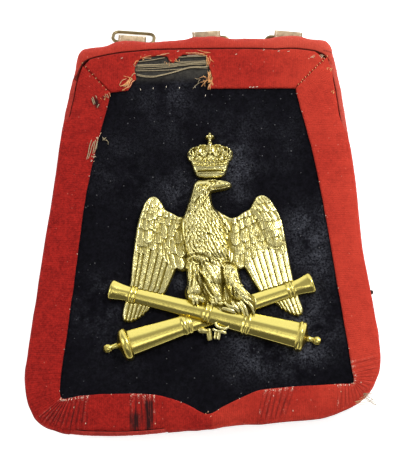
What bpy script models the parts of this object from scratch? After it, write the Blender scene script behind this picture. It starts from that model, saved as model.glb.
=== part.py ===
"""Sabretache lying on its back: leather pouch and flap, black cloth face, red lace border,
red top band and edge piping, three ring loops, and a crowned eagle badge over crossed cannons.

Frame: +Z up from the table, +Y toward the ring edge, +X to the right as it is looked at.
Every length below is in millimetres; add_mesh turns it into metres.
"""
import math

import bmesh
import bpy
import numpy as np
from mathutils import Vector
from mathutils.geometry import delaunay_2d_cdt

MM = 0.001
FIT = 0.3

# Heights over the table
BACK_THICK = 2.2
BACK_RISE = 10.0
POCKET_WALL = 2.0
POCKET_TOP = 16.7
FLAP_BACK = 17.0
FLAP_THICK = 3.0
CLOTH_THICK = 1.0
LACE_THICK = 1.6
RIM_DROP = 3.0
FLAP_TOP = FLAP_BACK + FLAP_THICK
CLOTH_BACK = FLAP_TOP + FIT
CLOTH_TOP = CLOTH_BACK + CLOTH_THICK
LACE_BACK = CLOTH_TOP + FIT + 0.15
LACE_TOP = LACE_BACK + LACE_THICK
BADGE_BACK = CLOTH_TOP + FIT

# The flap from its top left corner down the left side, along the bottom and up the right side.
# Columns: outer edge x, y; inner edge of the lace x, y; width of the edge piping.
BORDER = [
    (-101.8, 148.5, -74.5, 119.8, 6.9),
    (-104.8, 133.5, -75.6, 113.5, 4.2),
    (-108.4, 118.0, -77.0, 107.5, 4.2),
    (-111.6, 103.0, -79.6, 98.5, 4.0),
    (-115.6, 79.0, -84.4, 80.0, 3.6),
    (-118.6, 54.0, -90.4, 54.5, 3.2),
    (-122.2, 28.0, -95.4, 28.5, 3.0),
    (-126.3, 4.0, -98.9, 2.5, 2.8),
    (-130.3, -24.0, -102.3, -25.0, 2.8),
    (-134.4, -52.0, -106.0, -52.0, 2.8),
    (-138.0, -76.0, -109.3, -76.0, 2.8),
    (-141.0, -97.0, -112.4, -98.0, 2.8),
    (-142.3, -112.0, -114.2, -111.0, 2.8),
    (-140.8, -126.0, -114.8, -121.0, 2.8),
    (-136.4, -138.2, -114.2, -125.9, 3.0),
    (-129.0, -146.6, -111.8, -127.8, 3.0),
    (-117.0, -152.2, -106.5, -127.2, 3.0),
    (-102.0, -155.0, -98.0, -125.6, 3.2),
    (-85.0, -156.2, -84.0, -124.8, 3.2),
    (-62.0, -156.4, -62.0, -124.6, 3.0),
    (-42.0, -155.4, -43.0, -125.6, 3.0),
    (-30.0, -154.0, -31.0, -128.4, 2.8),
    (-15.0, -153.3, -16.5, -134.0, 2.8),
    (-1.0, -152.8, -1.2, -141.4, 2.8),
    (13.0, -150.6, 12.0, -135.6, 2.8),
    (27.0, -149.2, 27.0, -128.6, 2.8),
    (41.0, -149.3, 40.5, -123.8, 2.8),
    (60.0, -147.8, 60.0, -122.0, 2.8),
    (83.0, -146.3, 83.0, -121.0, 2.8),
    (99.0, -142.2, 101.0, -120.3, 2.8),
    (112.5, -136.4, 109.5, -120.1, 3.0),
    (123.5, -127.0, 111.9, -118.9, 3.0),
    (130.8, -115.0, 112.4, -115.4, 3.0),
    (133.9, -102.0, 111.2, -109.0, 2.8),
    (133.4, -86.0, 108.7, -90.0, 2.8),
    (130.9, -64.0, 105.6, -66.0, 2.8),
    (127.2, -37.0, 101.8, -38.0, 2.8),
    (123.4, -12.0, 98.5, -12.0, 3.0),
    (121.6, 14.0, 95.0, 13.5, 3.0),
    (120.4, 40.0, 91.2, 40.0, 3.4),
    (117.6, 68.0, 86.3, 68.0, 3.8),
    (114.3, 96.0, 80.2, 95.0, 4.2),
    (111.8, 117.0, 77.4, 107.0, 4.2),
    (109.0, 133.0, 75.6, 114.5, 4.6),
    (105.8, 151.5, 74.8, 120.5, 7.7),
]
BORDER_LAST = len(BORDER) - 1
ACROSS = (0.0, 0.5, 1.0)

# Gathers of the lace. Columns: first and last row of BORDER, how many, height.
GATHERS = [
    (12.2, 17.0, 12, 0.9),
    (18.9, 19.8, 4, 0.7),
    (26.1, 27.2, 5, 0.7),
    (28.6, 29.8, 4, 0.7),
    (29.9, 34.0, 14, 0.9),
]

# The top band. Columns: nose x, y; front lip x, y; length of the flat lower lip.
BAND = [
    (-104.6, 134.0, -101.4, 134.9, 0.0),
    (-103.4, 141.0, -99.3, 140.2, 0.0),
    (-102.2, 149.0, -96.9, 144.8, 0.5),
    (-100.2, 156.0, -94.2, 147.4, 1.5),
    (-96.0, 159.6, -91.0, 148.9, 3.0),
    (-88.0, 160.8, -85.5, 150.4, 4.5),
    (-78.0, 162.2, -77.2, 152.2, 5.5),
    (-72.5, 164.6, -72.0, 153.0, 5.5),
    (-66.0, 166.0, -66.0, 153.9, 5.5),
    (-57.0, 165.9, -57.0, 154.6, 5.5),
    (-49.0, 164.8, -49.0, 155.2, 5.5),
    (-41.0, 164.3, -41.0, 155.7, 5.5),
    (-28.0, 165.2, -28.0, 156.0, 5.5),
    (-14.0, 166.1, -14.0, 156.0, 5.5),
    (-7.0, 168.1, -7.0, 155.9, 5.5),
    (4.0, 168.7, 4.0, 155.8, 5.5),
    (15.0, 168.2, 15.0, 155.7, 5.5),
    (22.0, 166.6, 22.0, 155.6, 5.5),
    (38.0, 166.0, 38.0, 155.3, 5.5),
    (54.0, 165.5, 54.0, 154.6, 5.5),
    (61.0, 167.1, 60.5, 154.3, 5.5),
    (70.0, 167.6, 69.5, 154.7, 5.5),
    (79.0, 167.2, 78.0, 154.2, 5.5),
    (87.0, 164.8, 85.5, 153.2, 4.5),
    (94.5, 163.8, 91.5, 152.0, 3.0),
    (101.0, 162.6, 96.5, 150.0, 1.5),
    (105.0, 157.5, 99.8, 147.4, 0.5),
    (106.4, 150.0, 102.0, 143.9, 0.0),
    (107.8, 142.6, 103.8, 139.9, 0.0),
]
BAND_WALL = 1.7
BAND_PAD = 2.9
BAND_MIDDLE = 15.0
BAND_INNER = 5.3
LIP_TO_ROLL = 0.6

# Top lace: the torn bay, from the inner edge up its left side and down its right side.
TEAR = [
    (-60.5, 121.3), (-58.2, 124.5), (-56.6, 128.0), (-53.6, 130.4), (-54.2, 134.5), (-55.0, 138.5),
    (-53.8, 143.0), (-51.0, 147.2), (-44.0, 149.4), (-36.0, 150.6), (-28.2, 149.6), (-26.6, 145.4),
    (-23.6, 143.9), (-20.6, 147.2), (-16.0, 150.8), (-6.0, 151.0), (3.2, 150.4), (4.4, 144.0),
    (6.2, 137.6), (7.6, 130.8), (6.2, 125.2), (5.0, 121.6),
]

# Pouch behind the flap. Columns: half lines x at y = 150 and at y = -130, left then right.
POUCH_LEFT = (-88.0, -116.0)
POUCH_RIGHT = (91.0, 108.0)
POUCH_BOTTOM = -130.0
POUCH_CORNER = 34.0
POCKET_INSET = 4.0
POCKET_MOUTH = 107.0

# Ring loops. Columns: name, pivot x, y, turn of the axis in plan, ring's resting angle, ring's side shift.
LOOPS = [
    ("left", -57.5, 167.8, -5.5, -27.3, 0.8),
    ("middle", 3.8, 170.5, 2.5, -152.7, 1.1),
    ("right", 70.7, 169.2, -6.5, -152.7, -1.2),
]
PIVOT_Z = 7.0
WIRE = 2.8
RING_WIDTH = 36.5
RING_REACH = 12.0
RING_CORNER = 4.5
LOOP_HALF = 11.6
LOOP_BORE = WIRE / 2 + 0.5
LOOP_OUTER = 3.9
TAIL_LENGTH = 19.0
TAIL_LOW = 3.3
TAIL_HIGH = 6.5

# Leather tab that sticks out at the right
TAB_LENGTH = 33.5
TAB_CENTRE = (114.4, -46.0)

# Cannon barrels: muzzle x, y, breech x, y; then the profile as share of the length and radius.
FRONT_BARREL = (-75.6, -43.6, 74.2, -83.6)
FRONT_PROFILE = [
    (0.000, 7.6), (0.012, 8.3), (0.030, 7.9), (0.095, 6.5), (0.105, 7.3), (0.130, 7.3), (0.138, 6.6),
    (0.480, 7.1), (0.490, 7.8), (0.512, 7.8), (0.520, 7.3), (0.680, 7.9), (0.690, 8.6), (0.712, 8.6),
    (0.720, 8.1), (0.960, 9.7), (0.968, 10.9), (0.990, 10.9), (1.000, 9.0), (1.018, 2.0), (1.045, 1.7),
    (1.055, 2.7), (1.078, 3.1), (1.095, 2.2),
]
REAR_BARREL = (82.6, -40.2, -65.6, -87.2)
REAR_PROFILE = [
    (0.000, 7.0), (0.012, 7.7), (0.030, 7.3), (0.098, 6.2), (0.106, 7.0), (0.130, 7.0), (0.138, 6.2),
    (0.480, 6.9), (0.640, 7.1), (0.650, 8.2), (0.676, 8.2), (0.684, 8.4), (0.955, 10.1), (0.963, 12.3),
    (0.988, 12.3), (1.000, 9.6), (1.018, 2.2), (1.050, 1.8), (1.060, 2.8), (1.085, 3.3), (1.102, 2.4),
]
BARREL_FLAT = 0.8
BARREL_EDGE = 0.5
WEB = 1.4
BARREL_SEGMENTS = 8

# Eagle's outline as short runs, counter-clockwise from the back of the neck
LEFT_RIM = [
    (-17.5, 15.0), (-21.0, 15.2), (-25.5, 18.0), (-31.0, 20.8), (-34.0, 26.5), (-37.0, 30.8), (-40.5, 32.3),
    (-44.0, 31.5), (-48.3, 26.5), (-51.5, 17.5), (-54.3, 7.0), (-56.0, -5.0), (-57.8, -18.0), (-59.5, -36.0),
    (-62.0, -47.0), (-65.4, -58.0), (-66.2, -63.5), (-65.3, -67.8),
]
LEFT_LEG = [
    (-46.6, -60.6), (-40.0, -53.0), (-32.0, -45.5), (-27.0, -35.0), (-23.6, -27.3), (-21.0, -28.6),
    (-18.0, -29.4), (-15.6, -28.2), (-15.2, -40.0), (-17.3, -44.5), (-17.0, -49.8),
]
FEET = [
    (-12.5, -54.2), (-10.8, -57.2), (-7.4, -57.6), (-6.2, -55.2), (-1.8, -55.4), (2.4, -57.0), (7.2, -58.4),
    (9.6, -60.2), (10.4, -62.6), (14.2, -62.7), (18.8, -64.2), (20.8, -65.5), (22.8, -63.6), (27.4, -64.4),
    (30.0, -69.0), (32.3, -70.2), (33.2, -66.0), (34.6, -64.6), (36.8, -66.5), (37.8, -62.6), (38.6, -56.0),
]
RIGHT_LEG = [
    (37.4, -51.6), (33.0, -47.2), (29.3, -43.3), (27.2, -38.5), (26.2, -33.5), (24.8, -29.2), (27.3, -28.5),
    (29.6, -27.2), (31.4, -29.5), (36.0, -38.5), (41.4, -47.0), (48.0, -52.5), (54.6, -57.0),
]
RIGHT_RIM = [
    (74.6, -64.4), (75.0, -61.0), (73.0, -55.0), (70.3, -46.0), (68.0, -37.5), (66.0, -26.0), (64.0, -12.0),
    (62.3, 0.0), (60.5, 10.0), (57.3, 18.5), (53.0, 26.5), (48.2, 31.1), (44.5, 31.7), (40.8, 30.6),
    (38.0, 26.0), (35.0, 20.3), (30.0, 17.8), (24.5, 14.0), (19.6, 13.5),
]
HEAD = [
    (13.0, 17.6), (7.2, 21.3), (5.2, 26.5), (4.7, 33.9), (10.0, 35.4), (15.4, 36.1), (19.4, 37.4),
    (21.6, 39.0), (20.2, 41.6), (17.0, 43.2), (12.0, 44.2), (9.0, 45.2), (-2.0, 45.2), (-5.6, 44.8),
    (-7.9, 43.0), (-9.2, 40.0), (-10.4, 34.5), (-13.0, 27.0), (-15.8, 18.5),
]
# Flight feathers: the groove beside each. Columns: root x, y; middle x, y; tip x, y.
LEFT_GROOVES = [
    (-52.5, -15.0, -56.3, -38.0, -63.2, -67.2),
    (-49.0, -15.0, -53.0, -38.0, -60.4, -68.2),
    (-44.0, -16.0, -48.8, -39.0, -57.4, -67.4),
    (-38.5, -18.0, -44.2, -40.0, -54.2, -65.8),
    (-34.5, -21.0, -40.2, -42.0, -51.0, -63.8),
    (-31.0, -23.5, -36.8, -43.0, -48.6, -61.8),
]
RIGHT_GROOVES = [
    (37.0, -22.0, 44.6, -45.0, 56.8, -58.6),
    (40.5, -17.0, 48.0, -43.8, 59.4, -60.8),
    (44.5, -15.0, 51.8, -42.5, 62.6, -62.6),
    (49.0, -13.0, 55.6, -41.0, 66.0, -64.4),
    (54.5, -14.5, 59.8, -39.5, 69.4, -65.6),
    (59.5, -15.0, 64.0, -38.0, 72.4, -65.8),
]
# Rows of covert feathers. Columns: first x, y; last x, y; number of scallops; depth of each.
COVERTS = [
    (-54.4, 7.0, -20.0, 3.0, 5, 3.2),
    (-55.9, -13.0, -36.5, -15.5, 3, 2.8),
    (-35.0, -17.0, -18.0, -26.5, 3, 2.6),
    (-50.0, 20.5, -34.0, 15.5, 3, 2.6),
    (21.0, 1.0, 60.8, 4.5, 6, 3.2),
    (38.5, -11.5, 62.6, -13.0, 4, 2.8),
    (20.5, -23.0, 36.0, -15.0, 3, 2.6),
    (38.5, 15.5, 56.0, 19.0, 3, 2.6),
]
# Rounded forms of the bird. Columns: x, y, radius at each end; height over the badge's back.
FORMS = [
    (-3.0, 8.0, 17.0, 1.0, -12.0, 17.5, 8.6),
    (2.0, -12.0, 16.5, 6.0, -34.0, 10.0, 7.2),
    (-4.0, 16.0, 12.0, -3.0, 34.0, 8.2, 7.4),
    (-3.0, 37.5, 8.0, 5.0, 39.5, 6.2, 6.8),
    (7.0, 40.2, 4.8, 19.0, 39.6, 2.8, 5.0),
    (-10.0, -27.0, 7.5, -10.0, -45.0, 7.0, 8.6),
    (-12.0, -51.0, 4.5, -4.0, -53.0, 4.0, 8.8),
    (3.0, -34.0, 8.0, 8.0, -53.0, 7.0, 6.6),
    (18.5, -31.0, 7.6, 23.0, -46.0, 7.0, 9.0),
    (24.0, -46.0, 8.0, 33.0, -56.0, 6.0, 9.0),
    (22.0, -58.0, 4.0, 12.0, -61.2, 2.4, 9.6),
    (25.0, -60.0, 4.5, 31.0, -68.0, 2.6, 9.6),
    (-41.0, 23.0, 10.0, -50.0, 0.0, 7.0, 5.2),
    (45.0, 22.0, 10.0, 56.5, 0.0, 7.0, 5.2),
]
WING_BASE = 3.0
WING_EDGE = 1.7
GROOVE_DEPTH = 0.9
EAGLE_STEP = 3.5

# Crown: right half of the outline about its middle line, from the foot up to the cross
CROWN_MIDDLE = 4.8
CROWN_HALF = [
    (4.0, 45.8), (9.6, 47.4), (11.5, 49.0), (12.3, 51.4), (13.6, 55.2), (14.9, 58.6), (17.3, 61.0),
    (18.3, 64.4), (17.9, 67.8), (16.0, 70.4), (12.4, 72.4), (8.0, 73.6), (4.4, 74.0), (1.9, 73.6),
    (1.7, 75.2), (1.2, 78.4), (3.3, 79.2), (3.3, 80.6), (1.3, 81.2), (0.6, 82.8),
]
# Ridges and grooves across the crown. Columns: half width, y at the middle, y at the side, height.
CROWN_LINES = [
    (11.6, 46.9, 49.8, 4.4),
    (11.3, 50.0, 51.2, 3.0),
    (11.9, 51.3, 52.8, 5.0),
    (12.6, 55.6, 56.6, 4.0),
    (13.9, 59.0, 60.2, 5.6),
    (16.2, 65.5, 65.0, 5.0),
]

SLOTS = {
    "black_leather": (0.020, 0.018, 0.017, 0.55, 0.0),
    "black_cloth": (0.012, 0.013, 0.020, 0.95, 0.0),
    "red_lace": (0.46, 0.020, 0.016, 0.90, 0.0),
    "red_cloth": (0.62, 0.055, 0.038, 0.92, 0.0),
    "buff_leather": (0.60, 0.49, 0.35, 0.80, 0.0),
    "frosted_brass": (0.78, 0.66, 0.30, 0.38, 1.0),
    "polished_brass": (0.80, 0.62, 0.22, 0.18, 1.0),
    "dull_brass": (0.47, 0.40, 0.22, 0.35, 1.0),
}


def clear_scene():
    for obj in list(bpy.data.objects):
        bpy.data.objects.remove(obj, do_unlink=True)


def material(slot):
    found = bpy.data.materials.get(slot)
    if found:
        return found
    red, green, blue, rough, metal = SLOTS[slot]
    made = bpy.data.materials.new(slot)
    made.use_nodes = True
    shader = made.node_tree.nodes["Principled BSDF"]
    shader.inputs["Base Color"].default_value = (red, green, blue, 1.0)
    shader.inputs["Roughness"].default_value = rough
    shader.inputs["Metallic"].default_value = metal
    return made


def add_mesh(name, points, faces, slot, origin=(0, 0, 0), sharp=40.0):
    """Object with its faces turned outward; its origin stays on the given point."""
    mesh = bpy.data.meshes.new(name)
    moved = (np.asarray(points, float) - np.asarray(origin, float)) * MM
    mesh.from_pydata(moved.tolist(), [], [tuple(int(k) for k in face) for face in faces])
    work = bmesh.new()
    work.from_mesh(mesh)
    bmesh.ops.recalc_face_normals(work, faces=work.faces)
    work.to_mesh(mesh)
    work.free()
    mesh.polygons.foreach_set("use_smooth", [True] * len(mesh.polygons))
    mesh.set_sharp_from_angle(angle=math.radians(sharp))
    obj = bpy.data.objects.new(name, mesh)
    obj.location = np.asarray(origin, float) * MM
    bpy.context.collection.objects.link(obj)
    if slot:
        mesh.materials.append(material(slot))
    return obj


def curve(table, at):
    """Catmull-Rom curve through the rows of a table, read at row positions such as 2.5."""
    rows = np.asarray(table, float)
    at = np.clip(np.atleast_1d(np.asarray(at, float)), 0, len(rows) - 1)
    low = np.minimum(at.astype(int), len(rows) - 2)
    f = (at - low)[:, None]
    pad = np.vstack([2 * rows[:1] - rows[1:2], rows, 2 * rows[-1:] - rows[-2:-1]])
    a, b, c, d = pad[low], pad[low + 1], pad[low + 2], pad[low + 3]
    return 0.5 * (2 * b + (c - a) * f + (2 * a - 5 * b + 4 * c - d) * f**2 + (3 * b - a - 3 * c + d) * f**3)


def ease(value):
    value = np.clip(value, 0.0, 1.0)
    return value * value * (3 - 2 * value)


def inside(points, loops):
    """Even-odd test of plan points against closed loops of plan points."""
    x, y = np.asarray(points, float).T
    odd = np.zeros(len(x), bool)
    for loop in loops:
        a = np.asarray(loop, float)
        b = np.roll(a, -1, axis=0)
        for (ax, ay), (bx, by) in zip(a, b):
            if ay == by:
                continue
            spans = (ay > y) != (by > y)
            odd ^= spans & (x < (bx - ax) * (y - ay) / (by - ay) + ax)
    return odd


def plate(name, plan, front, back, loops, lines, slot, sharp=40.0, flat_back=False):
    """Closed solid over a plan: a triangulation kept inside the loops, a front and a back."""
    plan = [(float(p[0]), float(p[1])) for p in plan]
    front, back = np.asarray(front, float).tolist(), np.asarray(back, float).tolist()

    def triangles(with_lines):
        pairs = [(loop[k], loop[(k + 1) % len(loop)]) for loop in loops for k in range(len(loop))]
        if with_lines:
            pairs += [(line[k], line[k + 1]) for line in lines for k in range(len(line) - 1)]
            used = list(range(len(plan)))
        else:
            used = sorted({k for loop in loops for k in loop})
        where = {k: n for n, k in enumerate(used)}
        points = [Vector(plan[k]) for k in used]
        spots, _, faces, sources, _, _ = delaunay_2d_cdt(
            points, [(where[a], where[b]) for a, b in pairs], [], 0, 1e-6)
        ids = []
        for spot, source in zip(spots, sources):
            if source:
                ids.append(used[source[0]])
                continue
            gaps = np.linalg.norm(np.array(plan) - np.array(spot[:]), axis=1)
            near = np.argsort(gaps)[:3]
            weight = 1 / (gaps[near] + 1e-6)
            weight /= weight.sum()
            ids.append(len(plan))
            plan.append((spot[0], spot[1]))
            front.append([spot[0], spot[1], float(weight @ np.array(front)[near, 2])])
            back.append([spot[0], spot[1], float(weight @ np.array(back)[near, 2])])
        kept = [tuple(ids[k] for k in face) for face in faces]
        middles = np.array([np.mean([plan[k] for k in face], axis=0) for face in kept])
        keep = inside(middles, [[plan[k] for k in loop] for loop in loops])
        return [face for face, good in zip(kept, keep) if good]

    upper = triangles(True)
    lower = triangles(False) if flat_back else upper
    total = len(plan)
    seen = {(face[k], face[(k + 1) % 3]) for face in upper for k in range(3)}
    rim = [(a, b) for a, b in seen if (b, a) not in seen]
    faces = list(upper)
    faces += [tuple(k + total for k in reversed(face)) for face in lower]
    faces += [(b, a, a + total, b + total) for a, b in sorted(rim)]
    points = np.array(front + back)
    used = sorted({k for face in faces for k in face})
    where = {k: n for n, k in enumerate(used)}
    return add_mesh(name, points[used], [[where[k] for k in face] for face in faces], slot, sharp=sharp)


def grid_solid(name, front, back, slot, sharp=40.0):
    """Closed solid between two grids of points of the same shape."""
    rows, cols = front.shape[:2]
    total = rows * cols
    index = np.arange(total).reshape(rows, cols)
    faces = []
    for r in range(rows - 1):
        for c in range(cols - 1):
            quad = (index[r, c], index[r + 1, c], index[r + 1, c + 1], index[r, c + 1])
            faces.append(quad)
            faces.append(tuple(k + total for k in reversed(quad)))
    rim = list(index[0, :]) + list(index[1:, -1]) + list(index[-1, -2::-1]) + list(index[-2:0:-1, 0])
    for k, here in enumerate(rim):
        after = rim[(k + 1) % len(rim)]
        faces.append((here, after, after + total, here + total))
    return add_mesh(name, np.vstack([front.reshape(-1, 3), back.reshape(-1, 3)]), faces, slot, sharp=sharp)


def swept_solid(name, sections, slot, closed=False, sharp=40.0, origin=(0, 0, 0)):
    """Closed solid from a row of closed sections, capped at both ends unless it closes on itself."""
    count, around = sections.shape[:2]
    index = np.arange(count * around).reshape(count, around)
    faces = []
    for r in range(count if closed else count - 1):
        for c in range(around):
            nxt, turn = (r + 1) % count, (c + 1) % around
            faces.append((index[r, c], index[nxt, c], index[nxt, turn], index[r, turn]))
    if not closed:
        faces.append(tuple(index[0]))
        faces.append(tuple(index[-1][::-1]))
    return add_mesh(name, sections.reshape(-1, 3), faces, slot, origin=origin, sharp=sharp)


def border_at(at):
    """Outer edge, rim under the piping, inner edge and piping width at row positions."""
    rows = curve(BORDER, at)
    outer, inner, width = rows[:, 0:2], rows[:, 2:4], rows[:, 4:5]
    span = inner - outer
    length = np.linalg.norm(span, axis=1, keepdims=True)
    rim = outer + span / length * (width + FIT)
    return outer, rim, inner, width


def gather_height(at, across):
    """Ridges of the gathers, none at the inner edge and lower at the rim."""
    height = np.zeros_like(at)
    for first, last, count, rise in GATHERS:
        part = (at - first) / (last - first)
        wave = 0.5 - 0.5 * np.cos(2 * math.pi * count * part)
        height += np.where((part > 0) & (part < 1), rise * wave, 0.0)
    return height * (0.25 + 0.75 * math.sin(math.pi * (0.12 + 0.7 * across)))


def rim_stations():
    """Row positions of the plain layers and the piping: two a row at the ends and round the corners."""
    half = [(0, 3), (11, 35), (41, BORDER_LAST)]
    return np.array([k for k in np.arange(0, BORDER_LAST + 0.01, 0.5)
                     if k == int(k) or any(first < k < last for first, last in half)])


def lace_stations():
    """Row positions of the lace: two for each gather, half a row elsewhere."""
    at = [k for k in np.arange(0, BORDER_LAST + 0.01, 0.5)
          if not any(first - 0.2 < k < last + 0.2 for first, last, _, _ in GATHERS)]
    for first, last, count, _ in GATHERS:
        at += list(np.linspace(first, last, 2 * count + 1))
    return np.array(sorted(set(np.round(at, 4))))


def rim_drop(at):
    """How far the rim hangs below the field: full round the sides and bottom, none at the top corners."""
    return RIM_DROP * ease(np.minimum(at, BORDER_LAST - at) / 3.0)


def roll_line():
    """Where the flap starts to roll over at the top, and the outward direction and reach there."""
    rows = np.asarray(BAND)
    nose, lip = rows[4:-4, 0:2], rows[4:-4, 2:4]
    way = nose - lip
    reach = np.linalg.norm(way, axis=1, keepdims=True)
    way = way / reach
    return lip + way * LIP_TO_ROLL, way, reach - LIP_TO_ROLL


def covered_sheet(name, back, thick, slot, roll):
    """Flap leather or face cloth: a flat field, a falling rim and, for the leather, the rolled top."""
    at = rim_stations()
    _, rim, inner, _ = border_at(at)
    start, way, reach = roll_line()
    plan, front, rear, lines = [], [], [], []

    def put(row, top, low):
        first = len(plan)
        plan.extend(np.asarray(row)[:, :2].tolist())
        front.extend(top.tolist())
        rear.extend(low.tolist())
        return list(range(first, len(plan)))

    for across in ACROSS:
        row = inner + (rim - inner) * across
        level = -rim_drop(at) * across**2
        lines.append(put(row, np.column_stack([row, back + thick + level]), np.column_stack([row, back + level])))
    if not roll:
        start = start - way * 2.0
    level = np.full(len(start), back)
    top = np.column_stack([start, level + thick])
    low = np.column_stack([start, level])
    head = put(start[::-1], top[::-1], low[::-1])
    edge = head
    if roll:
        outer_a = reach[:, 0] - BAND_WALL - FIT
        outer_b = np.full(len(start), BAND_INNER - FIT)
        for turn in (60, 30, 0, -30, -55, -75):
            angle = math.radians(turn)
            far = start + way * (outer_a * math.cos(angle))[:, None]
            near = start + way * ((outer_a - thick) * math.cos(angle))[:, None]
            top = np.column_stack([far, BAND_MIDDLE + outer_b * math.sin(angle)])
            low = np.column_stack([near, BAND_MIDDLE + (outer_b - thick) * math.sin(angle)])
            flat = start + way * (90 - turn) * 0.12
            nxt = put(flat[::-1], top[::-1], low[::-1])
            lines.append(edge)
            edge = nxt
    sides = []
    if roll:
        steps = [lines[k] for k in range(3, len(lines))] + [edge]
        right_side = [row[0] for row in steps]
        left_side = [row[-1] for row in steps]
        sides = [right_side, left_side]
        loop = lines[2] + right_side + edge[1:-1] + left_side[::-1]
    else:
        loop = lines[2] + head
    return plate(name, plan, front, rear, [loop], lines[:2] + lines[3:] + sides, slot, sharp=35.0)


def lace_sides():
    at = lace_stations()
    _, rim, inner, _ = border_at(at)
    rim = rim + (inner - rim) / np.linalg.norm(inner - rim, axis=1, keepdims=True) * FIT
    front, back = [], []
    for across in ACROSS:
        row = inner + (rim - inner) * across
        level = -rim_drop(at) * across**2
        front.append(np.column_stack([row, LACE_TOP + level + gather_height(at, across)]))
        back.append(np.column_stack([row, LACE_BACK + level]))
    return grid_solid("lace_sides", np.array(front), np.array(back), "red_lace", sharp=60.0)


def lace_top():
    """Top lace between the two mitres, under the band's lip, with the torn bay left open."""
    _, rim, inner, _ = border_at([0, BORDER_LAST])
    rows = np.asarray(BAND)[4:-4]
    lip = rows[:, 2:4] - np.array([0.0, 0.5])

    def mitre(k, side):
        away = np.array([side * 0.5, 0.0])
        return [inner[k] + away + (rim[k] - inner[k]) * share for share in (0.0, 0.5, 0.97)]

    left, right = mitre(0, 1.0), mitre(1, -1.0)
    edge = [tuple(p) for p in left[:1]] + TEAR + [tuple(p) for p in right] + [tuple(p) for p in lip[::-1]]
    edge += [tuple(p) for p in left[:0:-1]]
    plan = np.array(edge, float)
    front = np.column_stack([plan, np.full(len(plan), LACE_TOP)])
    back = np.column_stack([plan, np.full(len(plan), LACE_BACK)])
    loop = list(range(len(plan)))
    return plate("lace_top", plan, front, back, [loop], [], "red_lace", sharp=60.0)


def top_band():
    """Padded C of red cloth over the top edge: front lip, nose, and a flat lower lip behind."""
    sections = []
    for nose_x, nose_y, lip_x, lip_y, tongue in BAND:
        nose, lip = np.array([nose_x, nose_y]), np.array([lip_x, lip_y])
        reach = np.linalg.norm(nose - lip)
        way = (nose - lip) / reach
        start = lip + way * LIP_TO_ROLL
        out_a, in_a = reach - LIP_TO_ROLL, reach - LIP_TO_ROLL - BAND_WALL
        middle, in_b, out_b = BAND_MIDDLE, BAND_INNER, BAND_INNER + BAND_PAD
        outer = [(start + way * out_a * math.cos(a), middle + out_b * math.sin(a))
                 for a in np.radians([90, 60, 32, 8, -16, -40, -64, -90])]
        inner = [(start + way * in_a * math.cos(a), middle + in_b * math.sin(a))
                 for a in np.radians([-90, -60, -30, 0, 30, 60, 90])]
        tail_out = (start - way * tongue, middle - out_b)
        tail_in = (start - way * tongue, middle - in_b)
        front_out = (lip, middle + out_b - 0.7)
        front_in = (lip, middle + in_b)
        ring = [front_out] + outer + [tail_out, tail_in] + inner + [front_in]
        sections.append([(p[0], p[1], z) for p, z in ring])
    return swept_solid("top_band", np.array(sections), "red_cloth", sharp=50.0)


def edge_piping():
    """Soft bead along the sides and the bottom, outside the layered rim."""
    at = np.concatenate([[1.05], [k for k in rim_stations() if 1.5 < k < 43.2], [43.3]])
    outer, rim, inner, width = border_at(at)
    way = (outer - inner) / np.linalg.norm(outer - inner, axis=1, keepdims=True)
    base = outer - way * width
    shape = [(0.0, 13.8), (0.55, 13.9), (0.9, 15.2), (1.0, 17.0), (0.88, 18.7), (0.5, 19.8), (0.0, 20.0)]
    lift = RIM_DROP - rim_drop(at)
    sections = [np.column_stack([base + way * width * share, z + lift]) for share, z in shape]
    return swept_solid("edge_piping", np.array(sections).transpose(1, 0, 2), "red_cloth", sharp=50.0)


def pouch_outline(inset, top):
    """Left end of the top, down the left side, round the bottom, up to the right end of the top."""
    def side(pair, y, sign):
        share = (150.0 - y) / 280.0
        return pair[0] + (pair[1] - pair[0]) * share + sign * inset
    low = POUCH_BOTTOM + inset
    radius = POUCH_CORNER - 0.5 * inset
    points = [(side(POUCH_LEFT, y, 1), y) for y in np.linspace(top, low + radius, 6)]
    for angle in np.radians([22, 45, 68]):
        x = side(POUCH_LEFT, low + radius, 1) + radius * (1 - math.cos(angle))
        points.append((x, low + radius * (1 - math.sin(angle))))
    points += [(x, low) for x in (-66.0, -22.0, 22.0, 60.0)]
    for angle in np.radians([68, 45, 22]):
        x = side(POUCH_RIGHT, low + radius, -1) - radius * (1 - math.cos(angle))
        points.append((x, low + radius * (1 - math.sin(angle))))
    points += [(side(POUCH_RIGHT, y, -1), y) for y in np.linspace(low + radius, top, 6)]
    return points


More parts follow.
